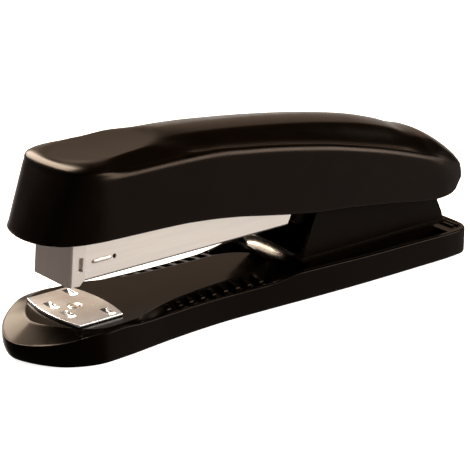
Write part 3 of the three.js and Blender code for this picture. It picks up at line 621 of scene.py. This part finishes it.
cover_normals = normals_of(cover_outline)


def skirt_ring(rise, inward, dz=0.0):
    points = [skirt_point(p, rise, inward) for p in cover_outline]
    return [(q.x, q.y, q.z + dz) for q in points]


def arch(share, x):
    """Section of the crown: 0 at the shoulder, 1 at the spine, rounder where roundness is larger."""
    power = roundness(x)
    return (1 - (1 - min(1.0, share)) ** power) ** (1 / power)


def crown_rise(station, x, share):
    """Height of the plain crown at x, a share of the way in from the shoulder at a station of the outline."""
    return mix(shoulder(station), ridge(max(SPINE_FRONT, x)), arch(share, station))


# Section of the rounded shoulder, from the side wall to the crown: out from the shoulder line, up from it.
SHOULDER_DEPTH = 2.6
SHOULDER_BEAD = [(0.0, -SHOULDER_DEPTH), (0.02, -2.0), (0.01, -1.5), (-0.05, -1.05), (-0.17, -0.62),
                 (-0.36, -0.22), (-0.62, 0.10), (-0.94, 0.34), (-1.3, 0.48), (-1.7, 0.54), (-2.1, 0.52),
                 (-2.5, 0.45), (-2.9, 0.42)]
# The same rings where there is no bead: heights up to the shoulder, then shares of the way up the crown.
SHOULDER_PLAIN = [-SHOULDER_DEPTH, -2.1, -1.65, -1.25, -0.85, -0.45, 0.0,
                  0.004, 0.011, 0.022, 0.037, 0.056, 0.08]
BELOW_SHOULDER = 7                # how many of them are heights
RAMP, RAMP_START = 0.92, 1.6      # slope from the bead up to the crown where no valley lies between them
VALLEY_START, VALLEY_END = 2.2, 8.6
SOFT_RADIUS, SOFT_RUN = 0.5, 1.5  # rounding where the ramp meets the crown, and the run that brings it in
BEAD_FULL = 0.3                   # value of bead() from which the section is all bead
PLAIN_LEAN = 0.10                 # how far the plain shoulder is rounded inwards
LOW_WALL_SHARE = 0.3              # the shoulder takes at most this share of a low wall's height


def shoulder_ring(k):
    """Ring k of the shoulder: a bead along the sides that fades into the plain crown at nose and tail."""
    ring = []
    for p, m in zip(cover_outline, cover_normals):
        b = bead(p.x)
        edge = skirt_point(p, 1, 0)
        spine_x = min(SPINE_REAR, max(SPINE_FRONT, edge.x))
        tall = shoulder(p.x) - lower_edge(p.x)
        fit = min(1.0, LOW_WALL_SHARE * tall / SHOULDER_DEPTH)
        step = SHOULDER_PLAIN[k]
        if k < BELOW_SHOULDER:
            step *= fit
            q = skirt_point(p, 1 + step / tall, 0)
            lean = PLAIN_LEAN * (k / (BELOW_SHOULDER - 1)) ** 2
            plain = Vector((q.x - m.x * lean, q.y - m.y * lean, shoulder(p.x) + step))
        else:
            plain = Vector((mix(edge.x - m.x * PLAIN_LEAN, spine_x, step),
                            mix(edge.y - m.y * PLAIN_LEAN, 0, step),
                            crown_rise(p.x, mix(edge.x, spine_x, step), step)))
        out, up = SHOULDER_BEAD[k]
        up = up * fit if up < 0 else up
        low = skirt_point(p, 1 + min(0.0, up) / tall, 0)
        lift = (1 - valley_share(p.x)) * RAMP * max(0.0, -out - RAMP_START)
        rolled = Vector((low.x + m.x * out, low.y + m.y * out, shoulder(p.x) + up + lift))
        ring.append(tuple(plain.lerp(rolled, b)))
    return ring


# Thumb pad: centre, height and slope there, half length and half width.
PAD_X, PAD_Z, PAD_SLOPE, PAD_A, PAD_B = 9.85, 51.92, 0.046, 13.77, 10.62
PAD_DISH, PAD_DISH_EDGE = 0.12, 0.96
PAD_FLAT, PAD_BLEND = 0.95, 1.34  # where the oval starts to roll into the crown, and where it has


def crown_height(x, y, z):
    """Works the thumb pad into the crown: a flat oval with a rolled edge, slightly dished."""
    e = math.hypot((x - PAD_X) / PAD_A, y / PAD_B)
    if e > PAD_BLEND:
        return z
    flat = PAD_Z + PAD_SLOPE * (x - PAD_X) - PAD_DISH * max(0.0, 1 - (e / PAD_DISH_EDGE) ** 2)
    return mix(flat, z, smooth(PAD_FLAT, PAD_BLEND, e))


def soft_min(a, b, radius):
    """The smaller of two heights, with the corner between them rounded."""
    h = max(0.0, radius - abs(a - b)) / max(1e-6, radius)
    return min(a, b) - h * h * radius / 4


def crown_ring(share):
    """Ring a share of the way from the shoulder to the spine: ramp or valley, then crown and pad."""
    ring = []
    for p, start in zip(cover_outline, shoulder_ring_last):
        sx, sy, sz = start
        edge = skirt_point(p, 1, 0)
        spine_x = min(SPINE_REAR, max(SPINE_FRONT, edge.x))
        x = mix(sx, spine_x, share)
        y = mix(sy, 0.0, share)
        run = math.hypot(edge.x - spine_x, edge.y)
        first = math.hypot(edge.x - sx, edge.y - sy)
        gone = math.hypot(edge.x - x, edge.y - y)
        rise = crown_rise(p.x, x, gone / run)
        top = crown_height(x, y, rise)
        radius = SOFT_RADIUS * smooth(first, first + SOFT_RUN, gone)
        ramp = soft_min(sz + RAMP * (gone - first), top, radius)
        dipped = crown_height(x, y, mix(sz, rise, smooth(VALLEY_START, VALLEY_END, gone)))
        z = mix(top, mix(ramp, dipped, valley_share(p.x)), smooth(0.0, BEAD_FULL, bead(p.x)))
        ring.append((x, y, z))
    return ring


shoulder_ring_last = shoulder_ring(len(SHOULDER_BEAD) - 1)
CROWN_SHARES = [0.03 * k for k in range(1, 33)] + [0.98, 1.0]


def inner_crown(share):
    ring = []
    for p in cover_outline:
        q = skirt_point(p, 1, WALL)
        spine_x = min(SPINE_REAR, max(SPINE_FRONT, q.x))
        ring.append((mix(q.x, spine_x, share), mix(q.y, 0, share),
                     crown_rise(p.x, mix(q.x, spine_x, share), share) - CROWN_WALL))
    return ring


# Rings round the lower edge, from inside to outside: inset and height over the edge.
LOWER_LIP = [(1.85, 0.05), (1.5, 0.0), (0.8, 0.0), (0.4, 0.05), (0.15, 0.22), (0.02, 0.5)]


def build_cover():
    """Hollow moulding, one loft from the inner crown down, round the lower edge and up to the spine."""
    inner = [inner_crown(s) for s in (1, 0.9, 0.75, 0.6, 0.45, 0.3, 0.18, 0.08, 0.02)]
    skirts = [skirt_ring(rise, WALL) for rise in (0.85, 0.6, 0.35, 0.05)]
    skirts += [skirt_ring(0.0, inward, dz) for inward, dz in LOWER_LIP] + [skirt_ring(0.06, 0)]
    sides = [skirt_ring(r, 0) for r in (0.12, 0.2, 0.3, 0.4, 0.5, 0.58, 0.66)]
    shoulders = [shoulder_ring(k) for k in range(len(SHOULDER_BEAD))]
    crown = [crown_ring(s) for s in CROWN_SHARES]
    shell = loft("cover_body", inner + skirts + sides + shoulders + crown, False, False)
    boolean(shell, [box("notch", *NOTCH)])
    return shade(shell, 50, False)


piece(build_cover(), "cover", "black_plastic", cover_plastic, "cover_shell")


# ------------------------------------------------------------------ magazine

MAG_HALF = mag_hi.y
MAG_WALL = 0.7
MAG_CORNER = 0.9                             # radius of the bottom edges
MARK_Z = 23.95                               # height of the bead and of the small hole in line with it
BEAD_START, BEAD_END, BEAD_SIZE = 0.6, 7.2, 0.55
MARK_HOLE_X, MARK_HOLE_R = 8, 0.62


def build_sheath():
    """Folded channel with rounded bottom edges and a bead rolled into each side near the front."""
    z0, z1 = mag_lo.z, mag_hi.z
    r = MAG_CORNER
    outer = [(-MAG_HALF, z1)] + arc(-MAG_HALF + r, z0 + r, r, 180, 270, 5)
    outer += [(-y, z) for y, z in reversed(outer)]
    inner = [(-MAG_HALF + MAG_WALL, z1)]
    inner += arc(-MAG_HALF + r, z0 + r, r - MAG_WALL * 0.8, 180, 270, 3)
    inner = [(y, max(z, z0 + MAG_WALL) if z < z0 + 2 else z) for y, z in inner]
    inner += [(-y, z) for y, z in reversed(inner)]
    body = prism("magazine_channel", outer + list(reversed(inner)), "x", mag_lo.x, mag_hi.x)
    corner = catmull([(66.2, 18.6), (66.3, 19.2), (67.2, 20.9), (68.2, 23.2), (68.9, 24.6), (70, 25.2)],
                     False, 5)
    cutter = [(p.x, p.y) for p in corner] + [(71, 25), (71, 17), (66.2, 17)]
    boolean(body, [prism("corner", cutter, "y", -9, 9)])
    boolean(body, [rod("hole", "y", MARK_HOLE_X, MARK_Z, MARK_HOLE_R, -9, 9, 24)])
    bevel(body, 0.1, 2, 40)
    beads = []
    for side in (-1, 1):
        rings = []
        for k in range(13):
            t = k / 12
            x = mix(BEAD_START, BEAD_END, t)
            size = BEAD_SIZE * (1 - abs(2 * t - 1) ** 6) ** 0.5 + 0.02
            rings.append([(x, side * (MAG_HALF - 0.05 + 0.6 * size * math.sin(a)),
                           MARK_Z + size * math.cos(a)) for a in [math.pi * j / 10 for j in range(11)]])
        beads.append(loft("bead", rings))
    body = joined("magazine_channel", [body, *beads])
    return shade(body, 35)


piece(build_sheath(), "magazine", "bright_steel", bright_steel, "magazine_sheath")


PLATE_SLOT = (2.7, 4.2, -10, 10, 4.0, 7.6)  # in the plate's own frame, before it is leaned and placed
PLATE_CORNER = [(2.6, -1), (6, -1), (6, 1.6), (4.6, 1.2)]
PLATE_FOOT = Vector((-7.2, 0, 18.8))


def build_front_plate():
    """Plate folded round the magazine's front: a U in plan, with a slot and a cut corner in each side."""
    half, thick, bend, reach, height, lean = plate_hi.y, 0.7, 1.1, 5.2, 15.2, math.radians(5)
    outer = [(reach, -half)] + list(reversed(arc(bend, -half + bend, bend, 180, 270, 8)))
    outer += list(reversed(arc(bend, half - bend, bend, 90, 180, 8))) + [(reach, half)]
    ri = bend - thick
    inner = [(reach, half - thick)] + arc(bend, half - bend, ri, 90, 180, 8)
    inner += arc(bend, -half + bend, ri, 180, 270, 8) + [(reach, -half + thick)]
    body = prism("front_plate_wrap", outer + inner, "z", 0, height)
    boolean(body, [box("slot", *PLATE_SLOT)])
    boolean(body, [prism("corner", PLATE_CORNER, "y", -10, 10)])
    bevel(body, 0.12, 2, 40)
    turn = Matrix.Rotation(lean, 4, "Y")
    for v in body.data.vertices:
        p = Vector(((v.co.x - ANVIL_X) / MM, v.co.y / MM, v.co.z / MM))
        v.co = place(turn @ p + PLATE_FOOT)
    return shade(body, 35)


piece(build_front_plate(), "magazine", "dark_steel", dark_steel, "front_plate")


# ------------------------------------------------------------------ hinge bracket

BRACKET_HALF, BRACKET_SHEET = 10.0, 1
BRACKET_LUG = 5  # radius round the pin


def build_bracket():
    """Folded sheet: two walls with slanted fronts and round tops over the pin, on a floor with soft edges."""
    z0 = bracket_lo.z
    half = BRACKET_HALF
    profile = [(69.6, z0 + 0.8), (124.2, z0 + 0.8), (123.6, 11.6), (121.7, 15.5),
               (HINGE_X + BRACKET_LUG, HINGE_Z - 1)]
    profile += arc(HINGE_X, HINGE_Z, BRACKET_LUG, -11, 100, 14)
    profile += [(100, 27.2), (76.2, 24.6), (74.6, 21.5)]
    walls = [prism("wall", profile, "y", s0, s1)
             for s0, s1 in ((-half, -half + BRACKET_SHEET), (half - BRACKET_SHEET, half))]
    body = box("bracket_body", bracket_lo.x, bracket_hi.x, bracket_lo.y, bracket_hi.y, z0, z0 + 0.85)
    for w in walls:
        boolean(body, [w], "UNION")
    boolean(body, [box("window", 66, 79, -5.6, 5.6, z0 - 1, z0 + 2)])
    boolean(body, [rod("hole", "y", HINGE_X, HINGE_Z, 2.5, -15, 15)])
    bevel(body, 0.22, 2, 40)
    return shade(body, 35)


piece(build_bracket(), "base", "black_steel", black_steel, "hinge_bracket")


# ------------------------------------------------------------------ anvil

ANVIL_TOP = anvil_hi.z - 0.16
GROOVES = [(x, side * y) for side in (-1, 1) for x, y in ((-4.7, 3.9), (4.5, 8.7))]
GROOVE_HALF, GROOVE_LENGTH, GROOVE_DEPTH = 1.05, 5.0, 0.66
RING_RADIUS, RING_WIDTH, RING_DEPTH = 1.75, 0.16, 0.12


def anvil_height(x, y):
    """Plate top: four boat-shaped grooves, steep across and gentle along, and a fine ring round the stud."""
    depth = 0.0
    for gx, gy in GROOVES:
        u, v = (x - gx) / GROOVE_HALF, (y - gy) / (GROOVE_LENGTH / 2)
        if abs(u) < 1 and abs(v) < 1:
            depth = max(depth, GROOVE_DEPTH * (1 - u ** 4) * (1 - v * v))
    ring = RING_DEPTH * math.exp(-((math.hypot(x, y) - RING_RADIUS) / RING_WIDTH) ** 2)
    return ANVIL_TOP - depth - ring


def build_anvil():
    """Plate with bulging ends: a fine grid for the top, then a rounded rim and a flat underside."""
    half_x, half_y, bulge = 6.7, anvil_hi.y, 1.7
    across, along = 150, 160

    def spot(u, v, shrink):
        return u * (half_x - shrink + bulge * (1 - v * v)), v * (half_y - shrink)

    def steps(count):
        return [-1 + 2 * k / count for k in range(count + 1)]

    verts, faces = [], []
    for v in steps(along):
        for u in steps(across):
            x, y = spot(u, v, 0.12)
            verts.append((x, y, anvil_height(x, y)))
    row = across + 1
    for j in range(along):
        for i in range(across):
            a = j * row + i
            faces.append((a, a + 1, a + row + 1, a + row))
    rim = [(u, -1) for u in steps(across)] + [(1, v) for v in steps(along)[1:]]
    rim += [(u, 1) for u in reversed(steps(across)[:-1])] + [(-1, v) for v in reversed(steps(along)[1:-1])]
    edge = list(range(row)) + [j * row + across for j in range(1, along + 1)]
    edge += [along * row + i for i in reversed(range(across))] + [j * row for j in reversed(range(1, along))]
    previous = edge
    levels = ((0.035, ANVIL_TOP - 0.04), (0.0, ANVIL_TOP - 0.13), (0.0, anvil_lo.z + 0.1), (0.08, anvil_lo.z))
    for shrink, z in levels:
        start = len(verts)
        for u, v in rim:
            x, y = spot(u, v, shrink)
            verts.append((x, y, z))
        level = list(range(start, start + len(rim)))
        for k in range(len(rim)):
            n = (k + 1) % len(rim)
            faces.append((previous[k], previous[n], level[n], level[k]))
        previous = level
    faces.append(tuple(previous))
    return shade(mesh_object("anvil_top", verts, faces), 40, False)


piece(build_anvil(), "anvil", "bright_steel", anvil_steel, "anvil_plate")


def build_stud():
    """Stud with its retaining head below the deck and a nearly flush, dimpled end in the plate."""
    low = mm_box("anvil_stud")[0].z
    top = ANVIL_TOP + 0.14
    profile = [(2.1, low), (2.45, low + 0.25), (2.45, low + 0.8), (1.58, low + 0.8), (1.58, top - 0.14),
               (1.5, top - 0.04), (1.36, top), (1.1, top - 0.02), (0.8, top - 0.12), (0.4, top - 0.2),
               (0.1, top - 0.22)]
    rings = [[(x, y, z) for x, y in arc(0, 0, r, 0, 352.5, 47)] for r, z in profile]
    return shade(loft("stud", rings), 40)


piece(build_stud(), "anvil", "bright_steel", fixing_steel, "anvil_stud")


# ------------------------------------------------------------------ springs and staples

def tube(name, points, radius, sides=10):
    """A round wire along millimetre points, with closed ends."""
    pts = [Vector(p) for p in points]
    rings = []
    up = Vector((0, 1, 0.01))
    for i, p in enumerate(pts):
        d = (pts[min(i + 1, len(pts) - 1)] - pts[max(i - 1, 0)]).normalized()
        side = d.cross(up).normalized()
        up = side.cross(d).normalized()
        rings.append([tuple(p + side * radius * math.cos(a) + up * radius * math.sin(a))
                      for a in [2 * math.pi * k / sides for k in range(sides)]])
    return shade(loft(name, rings), 60)


def coil(name, start, end, radius, wire, turns, per_turn=20):
    """A coil spring from start to end, wound closer at its ends."""
    start, end = Vector(start), Vector(end)
    axis = end - start
    side = Vector((1, 0, 0)) if abs(axis.z) > abs(axis.x) else Vector((0, 0, 1))
    other = axis.normalized().cross(side)
    points = []
    total = turns * per_turn
    for i in range(total + 1):
        t = i / total
        close = 0.5 / turns
        u = mix(t, smooth(0, 1, t), close)
        a = 2 * math.pi * i / per_turn
        points.append(start + axis * u + side * radius * math.cos(a) + other * radius * math.sin(a))
    return tube(name, points, wire / 2, 8)


handle_lo, handle_hi = mm_box("handle_spring")
HANDLE_X, HANDLE_WIRE = 32, 0.7
handle_coil = coil("handle_coil", (HANDLE_X, 0, handle_lo.z + HANDLE_WIRE / 2),
                   (HANDLE_X, 0, handle_hi.z - HANDLE_WIRE / 2), radius=3, wire=HANDLE_WIRE, turns=5)
piece(handle_coil, "magazine", "spring_steel", spring_steel, "handle_spring")
push_lo, push_hi = mm_box("pusher_spring")
ROD_Z, PUSH_WIRE = (push_lo.z + push_hi.z) / 2, 0.4
pusher_coil = coil("pusher_coil", (push_lo.x + PUSH_WIRE / 2, 0, ROD_Z),
                   (push_hi.x - PUSH_WIRE / 2, 0, ROD_Z), radius=1.5, wire=PUSH_WIRE, turns=26, per_turn=14)
piece(pusher_coil, "magazine", "spring_steel", spring_steel, "pusher_spring")
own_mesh(pusher_coil)


def build_leaf():
    """Leaf spring: flat root, rising blade stiffened by rolled-down edges, tip under the magazine."""
    line = catmull([(92, 5.05), (85, 5.05), (80, 5.1), (77, 5.6), (74.7, 6.8), (71.9, 8.7), (67, 11.9),
                    (61.8, 14.9), (57.5, 17.1), (54.2, 17.85)], False, 10)
    roll = curve([(54, 2.4), (58, 4.2), (62, 4.6), (67, 3.9), (71.9, 2.1), (75, 0.8), (78, 0.0)])
    half, thick = spring_hi.y, 0.22
    shape = [(-1.0, 1.0), (-0.985, 0.8), (-0.95, 0.58), (-0.88, 0.38), (-0.76, 0.21), (-0.58, 0.09),
             (-0.34, 0.02), (0, 0)]
    shape += [(-a, b) for a, b in reversed(shape[:-1])]
    rings = []
    for i, p in enumerate(line):
        d = (line[min(i + 1, len(line) - 1)] - line[max(i - 1, 0)]).normalized()
        m = Vector((-d.y, d.x))
        if m.y < 0:
            m = -m
        low = roll(p.x)
        narrow = half - 0.4 * min(1.0, low)
        top = [(p.x + m.x * thick, a * half, p.y + m.y * thick - b * low) for a, b in shape]
        bottom = [(p.x - m.x * thick, a * narrow, p.y - m.y * thick - b * low) for a, b in shape]
        rings.append(top + list(reversed(bottom)))
    return shade(loft("return_leaf", rings), 50)


return_leaf = piece(build_leaf(), None, "spring_steel", spring_steel, "return_spring")
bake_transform(return_leaf)


def build_staples():
    """A glued row of staples: each a crown and two legs of flattened wire."""
    half, z0, z1 = strip_hi.y, strip_lo.z, strip_hi.z
    pitch, wire, corner = 0.53, 0.49, 0.35
    count = int((strip_hi.x - strip_lo.x) / pitch)
    verts, faces = [], []
    for k in range(count):
        x0 = strip_lo.x + k * pitch
        drop_z = 0.03 * math.sin(k * 2.4)
        ring = [(-half, z0), (-half, z1 - corner), (-half + corner, z1), (half - corner, z1),
                (half, z1 - corner), (half, z0), (half - wire, z0), (half - wire, z1 - wire),
                (-half + wire, z1 - wire), (-half + wire, z0)]
        n = len(ring)
        start = len(verts)
        for x in (x0, x0 + wire):
            verts += [(x, y, z + drop_z) for y, z in ring]
        faces += [tuple(start + j for j in range(n)), tuple(start + n + j for j in reversed(range(n)))]
        faces += [(start + j, start + (j + 1) % n, start + n + (j + 1) % n, start + n + j) for j in range(n)]
    return shade(mesh_object("staple_row", verts, faces), 30)


piece(build_staples(), "magazine", "bright_steel", staple_steel, "staple_strip")


# ------------------------------------------------------------------ CAD pieces that keep their shape

# Material and width of the rounded edges, in millimetres.
KEPT = {
    "base_sole": (rubber, 0.3), "bracket_rivet_front": (fixing_steel, 0.2),
    "bracket_rivet_rear": (fixing_steel, 0.2), "spring_rivet": (fixing_steel, 0.2),
    "pivot_pin": (fixing_steel, 0.25), "pin_ring": (fixing_steel, 0.15), "anvil_washer": (spring_steel, 0.1),
    "staple_rail": (bright_steel, 0.12), "guide_rod": (spring_steel, 0.15),
    "magazine_carrier": (black_steel, 0.15), "spring_bridge": (fixing_steel, 0.15),
    "pusher": (follower_plastic, 0.25), "cover_frame": (fixing_steel, 0.15),
    "cover_screw_front": (fixing_steel, 0.15), "cover_screw_rear": (fixing_steel, 0.15),
    "driver_blade": (spring_steel, 0.06), "driver_rivet": (fixing_steel, 0.1),
}
for name, (material, width) in KEPT.items():
    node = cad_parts[name]
    node.data.materials.clear()
    node.data.materials.append(material)
    for p in node.data.polygons:
        p.use_smooth = True
    weld = node.modifiers.new("weld", "WELD")
    weld.merge_threshold = 0.000002
    m = node.modifiers.new("bevel", "BEVEL")
    m.width = width * MM
    m.segments = 2
    m.limit_method = "ANGLE"
    m.angle_limit = math.radians(32)
    m.harden_normals = True


# ------------------------------------------------------------------ floor, light, camera

def floor_material():
    """Pale and nearly self-lit, so that it stays white in the picture like the photo's ground."""
    material, tree, shader = nodes_of("pale_floor")
    shader.inputs["Base Color"].default_value = (0.9, 0.9, 0.9, 1)
    shader.inputs["Roughness"].default_value = 0.9
    shader.inputs["Emission Color"].default_value = (1, 1, 1, 1)
    shader.inputs["Emission Strength"].default_value = 0.93
    return material


FLOOR_HALF, FLOOR_GAP = 6, 0.0002  # metres
mesh = bpy.data.meshes.new("floor")
mesh.from_pydata([(x * FLOOR_HALF, y * FLOOR_HALF, 0) for x, y in ((-1, -1), (1, -1), (1, 1), (-1, 1))], [],
                 [(0, 1, 2, 3)])
floor = bpy.data.objects.new("floor", mesh)
floor.location.z = -FLOOR_GAP
bpy.context.scene.collection.objects.link(floor)
floor.data.materials.append(floor_material())
floor.visible_glossy = False
floor.visible_diffuse = False


def studio_world():
    """White backdrop for the camera; the object sees a pale tent, a warm backdrop and two softboxes."""
    world = bpy.data.worlds.new("studio")
    bpy.context.scene.world = world
    world.use_nodes = True
    tree = world.node_tree
    tree.nodes.clear()
    out = tree.nodes.new("ShaderNodeOutputWorld")
    coords = tree.nodes.new("ShaderNodeTexCoord")
    parts = tree.nodes.new("ShaderNodeSeparateXYZ")
    tree.links.new(coords.outputs["Generated"], parts.inputs["Vector"])
    dx, dy, dz = (parts.outputs[k] for k in "XYZ")

    def step(value, start, end):
        """Rises smoothly from 0 at start to 1 at end; start above end makes it fall."""
        node = tree.nodes.new("ShaderNodeMapRange")
        node.interpolation_type = "SMOOTHSTEP"
        low, high = min(start, end), max(start, end)
        node.inputs["From Min"].default_value = low
        node.inputs["From Max"].default_value = high
        node.inputs["To Min"].default_value = 0.0 if start < end else 1.0
        node.inputs["To Max"].default_value = 1.0 if start < end else 0.0
        tree.links.new(value, node.inputs["Value"])
        return node.outputs["Result"]

    def times(*values):
        result = values[0]
        for value in values[1:]:
            node = tree.nodes.new("ShaderNodeMath")
            node.operation = "MULTIPLY"
            tree.links.new(result, node.inputs[0])
            if isinstance(value, float):
                node.inputs[1].default_value = value
            else:
                tree.links.new(value, node.inputs[1])
            result = node.outputs[0]
        return result

    def glow(colour, strength):
        node = tree.nodes.new("ShaderNodeBackground")
        node.inputs["Color"].default_value = (*colour, 1)
        tree.links.new(strength, node.inputs["Strength"])
        return node.outputs["Background"]

    def plus(a, b):
        node = tree.nodes.new("ShaderNodeAddShader")
        tree.links.new(a, node.inputs[0])
        tree.links.new(b, node.inputs[1])
        return node.outputs["Shader"]

    tent = glow((1.0, 0.84, 0.74), times(step(dz, 0.75, 0.2), 0.17))
    side = glow((1.0, 0.92, 0.85), times(step(dx, 0.30, 0.52), step(dy, 0.1, -0.35), step(dz, 0.1, -0.05),
                                         0.70))
    horizon = glow((1.0, 0.93, 0.86), times(step(dy, 0.2, 0.5), step(dx, -0.25, 0.3), step(dz, 0.22, 0.02),
                                            0.75))
    backdrop = glow((1.0, 0.66, 0.43), times(step(dy, 0.2, 0.5), step(dx, -0.1, 0.35), step(dz, 0.0, 0.2),
                                              step(dz, 0.62, 0.36), 0.52))
    key = glow((1.0, 0.82, 0.63), times(step(dx, -0.27, -0.14), step(dx, 0.36, 0.20), step(dy, 0.48, 0.64),
                                        step(dz, 0.08, 0.24), step(dz, 0.9, 0.83), dz, 44.0))
    fill = glow((1.0, 0.86, 0.72), times(step(dx, 0.40, 0.52), step(dx, 0.92, 0.78), step(dy, -0.25, -0.45),
                                         step(dz, 0.07, 0.16), step(dz, 0.54, 0.42), 16.0))
    room = plus(plus(plus(tent, side), plus(horizon, backdrop)), plus(key, fill))
    white = tree.nodes.new("ShaderNodeBackground")
    white.inputs["Color"].default_value = (1, 1, 1, 1)
    white.inputs["Strength"].default_value = 1.05
    path = tree.nodes.new("ShaderNodeLightPath")
    pick = tree.nodes.new("ShaderNodeMixShader")
    tree.links.new(path.outputs["Is Camera Ray"], pick.inputs["Fac"])
    tree.links.new(room, pick.inputs[1])
    tree.links.new(white.outputs["Background"], pick.inputs[2])
    tree.links.new(pick.outputs["Shader"], out.inputs["Surface"])


studio_world()

# Camera fitted to the photo: focal length and picture side in pixels, sensor in millimetres.
FOCAL_PX, PHOTO_PX, SENSOR = 2000, 470, 36
AZIMUTH, ELEVATION = math.radians(-38.787), math.radians(19.896)
CAMERA_SPOT = (-270.906, -404.036, 204.826)
camera_data = bpy.data.cameras.new("camera")
camera = bpy.data.objects.new("camera", camera_data)
bpy.context.scene.collection.objects.link(camera)
camera_data.sensor_width = SENSOR
camera_data.lens = FOCAL_PX / PHOTO_PX * SENSOR
camera_data.clip_start = 0.01
back = Vector((math.sin(AZIMUTH) * math.cos(ELEVATION), -math.cos(AZIMUTH) * math.cos(ELEVATION),
               math.sin(ELEVATION)))
camera.location = place(CAMERA_SPOT)
camera.rotation_euler = back.to_track_quat("Z", "Y").to_euler()
bpy.context.scene.camera = camera
bpy.context.scene.view_settings.view_transform = "Standard"
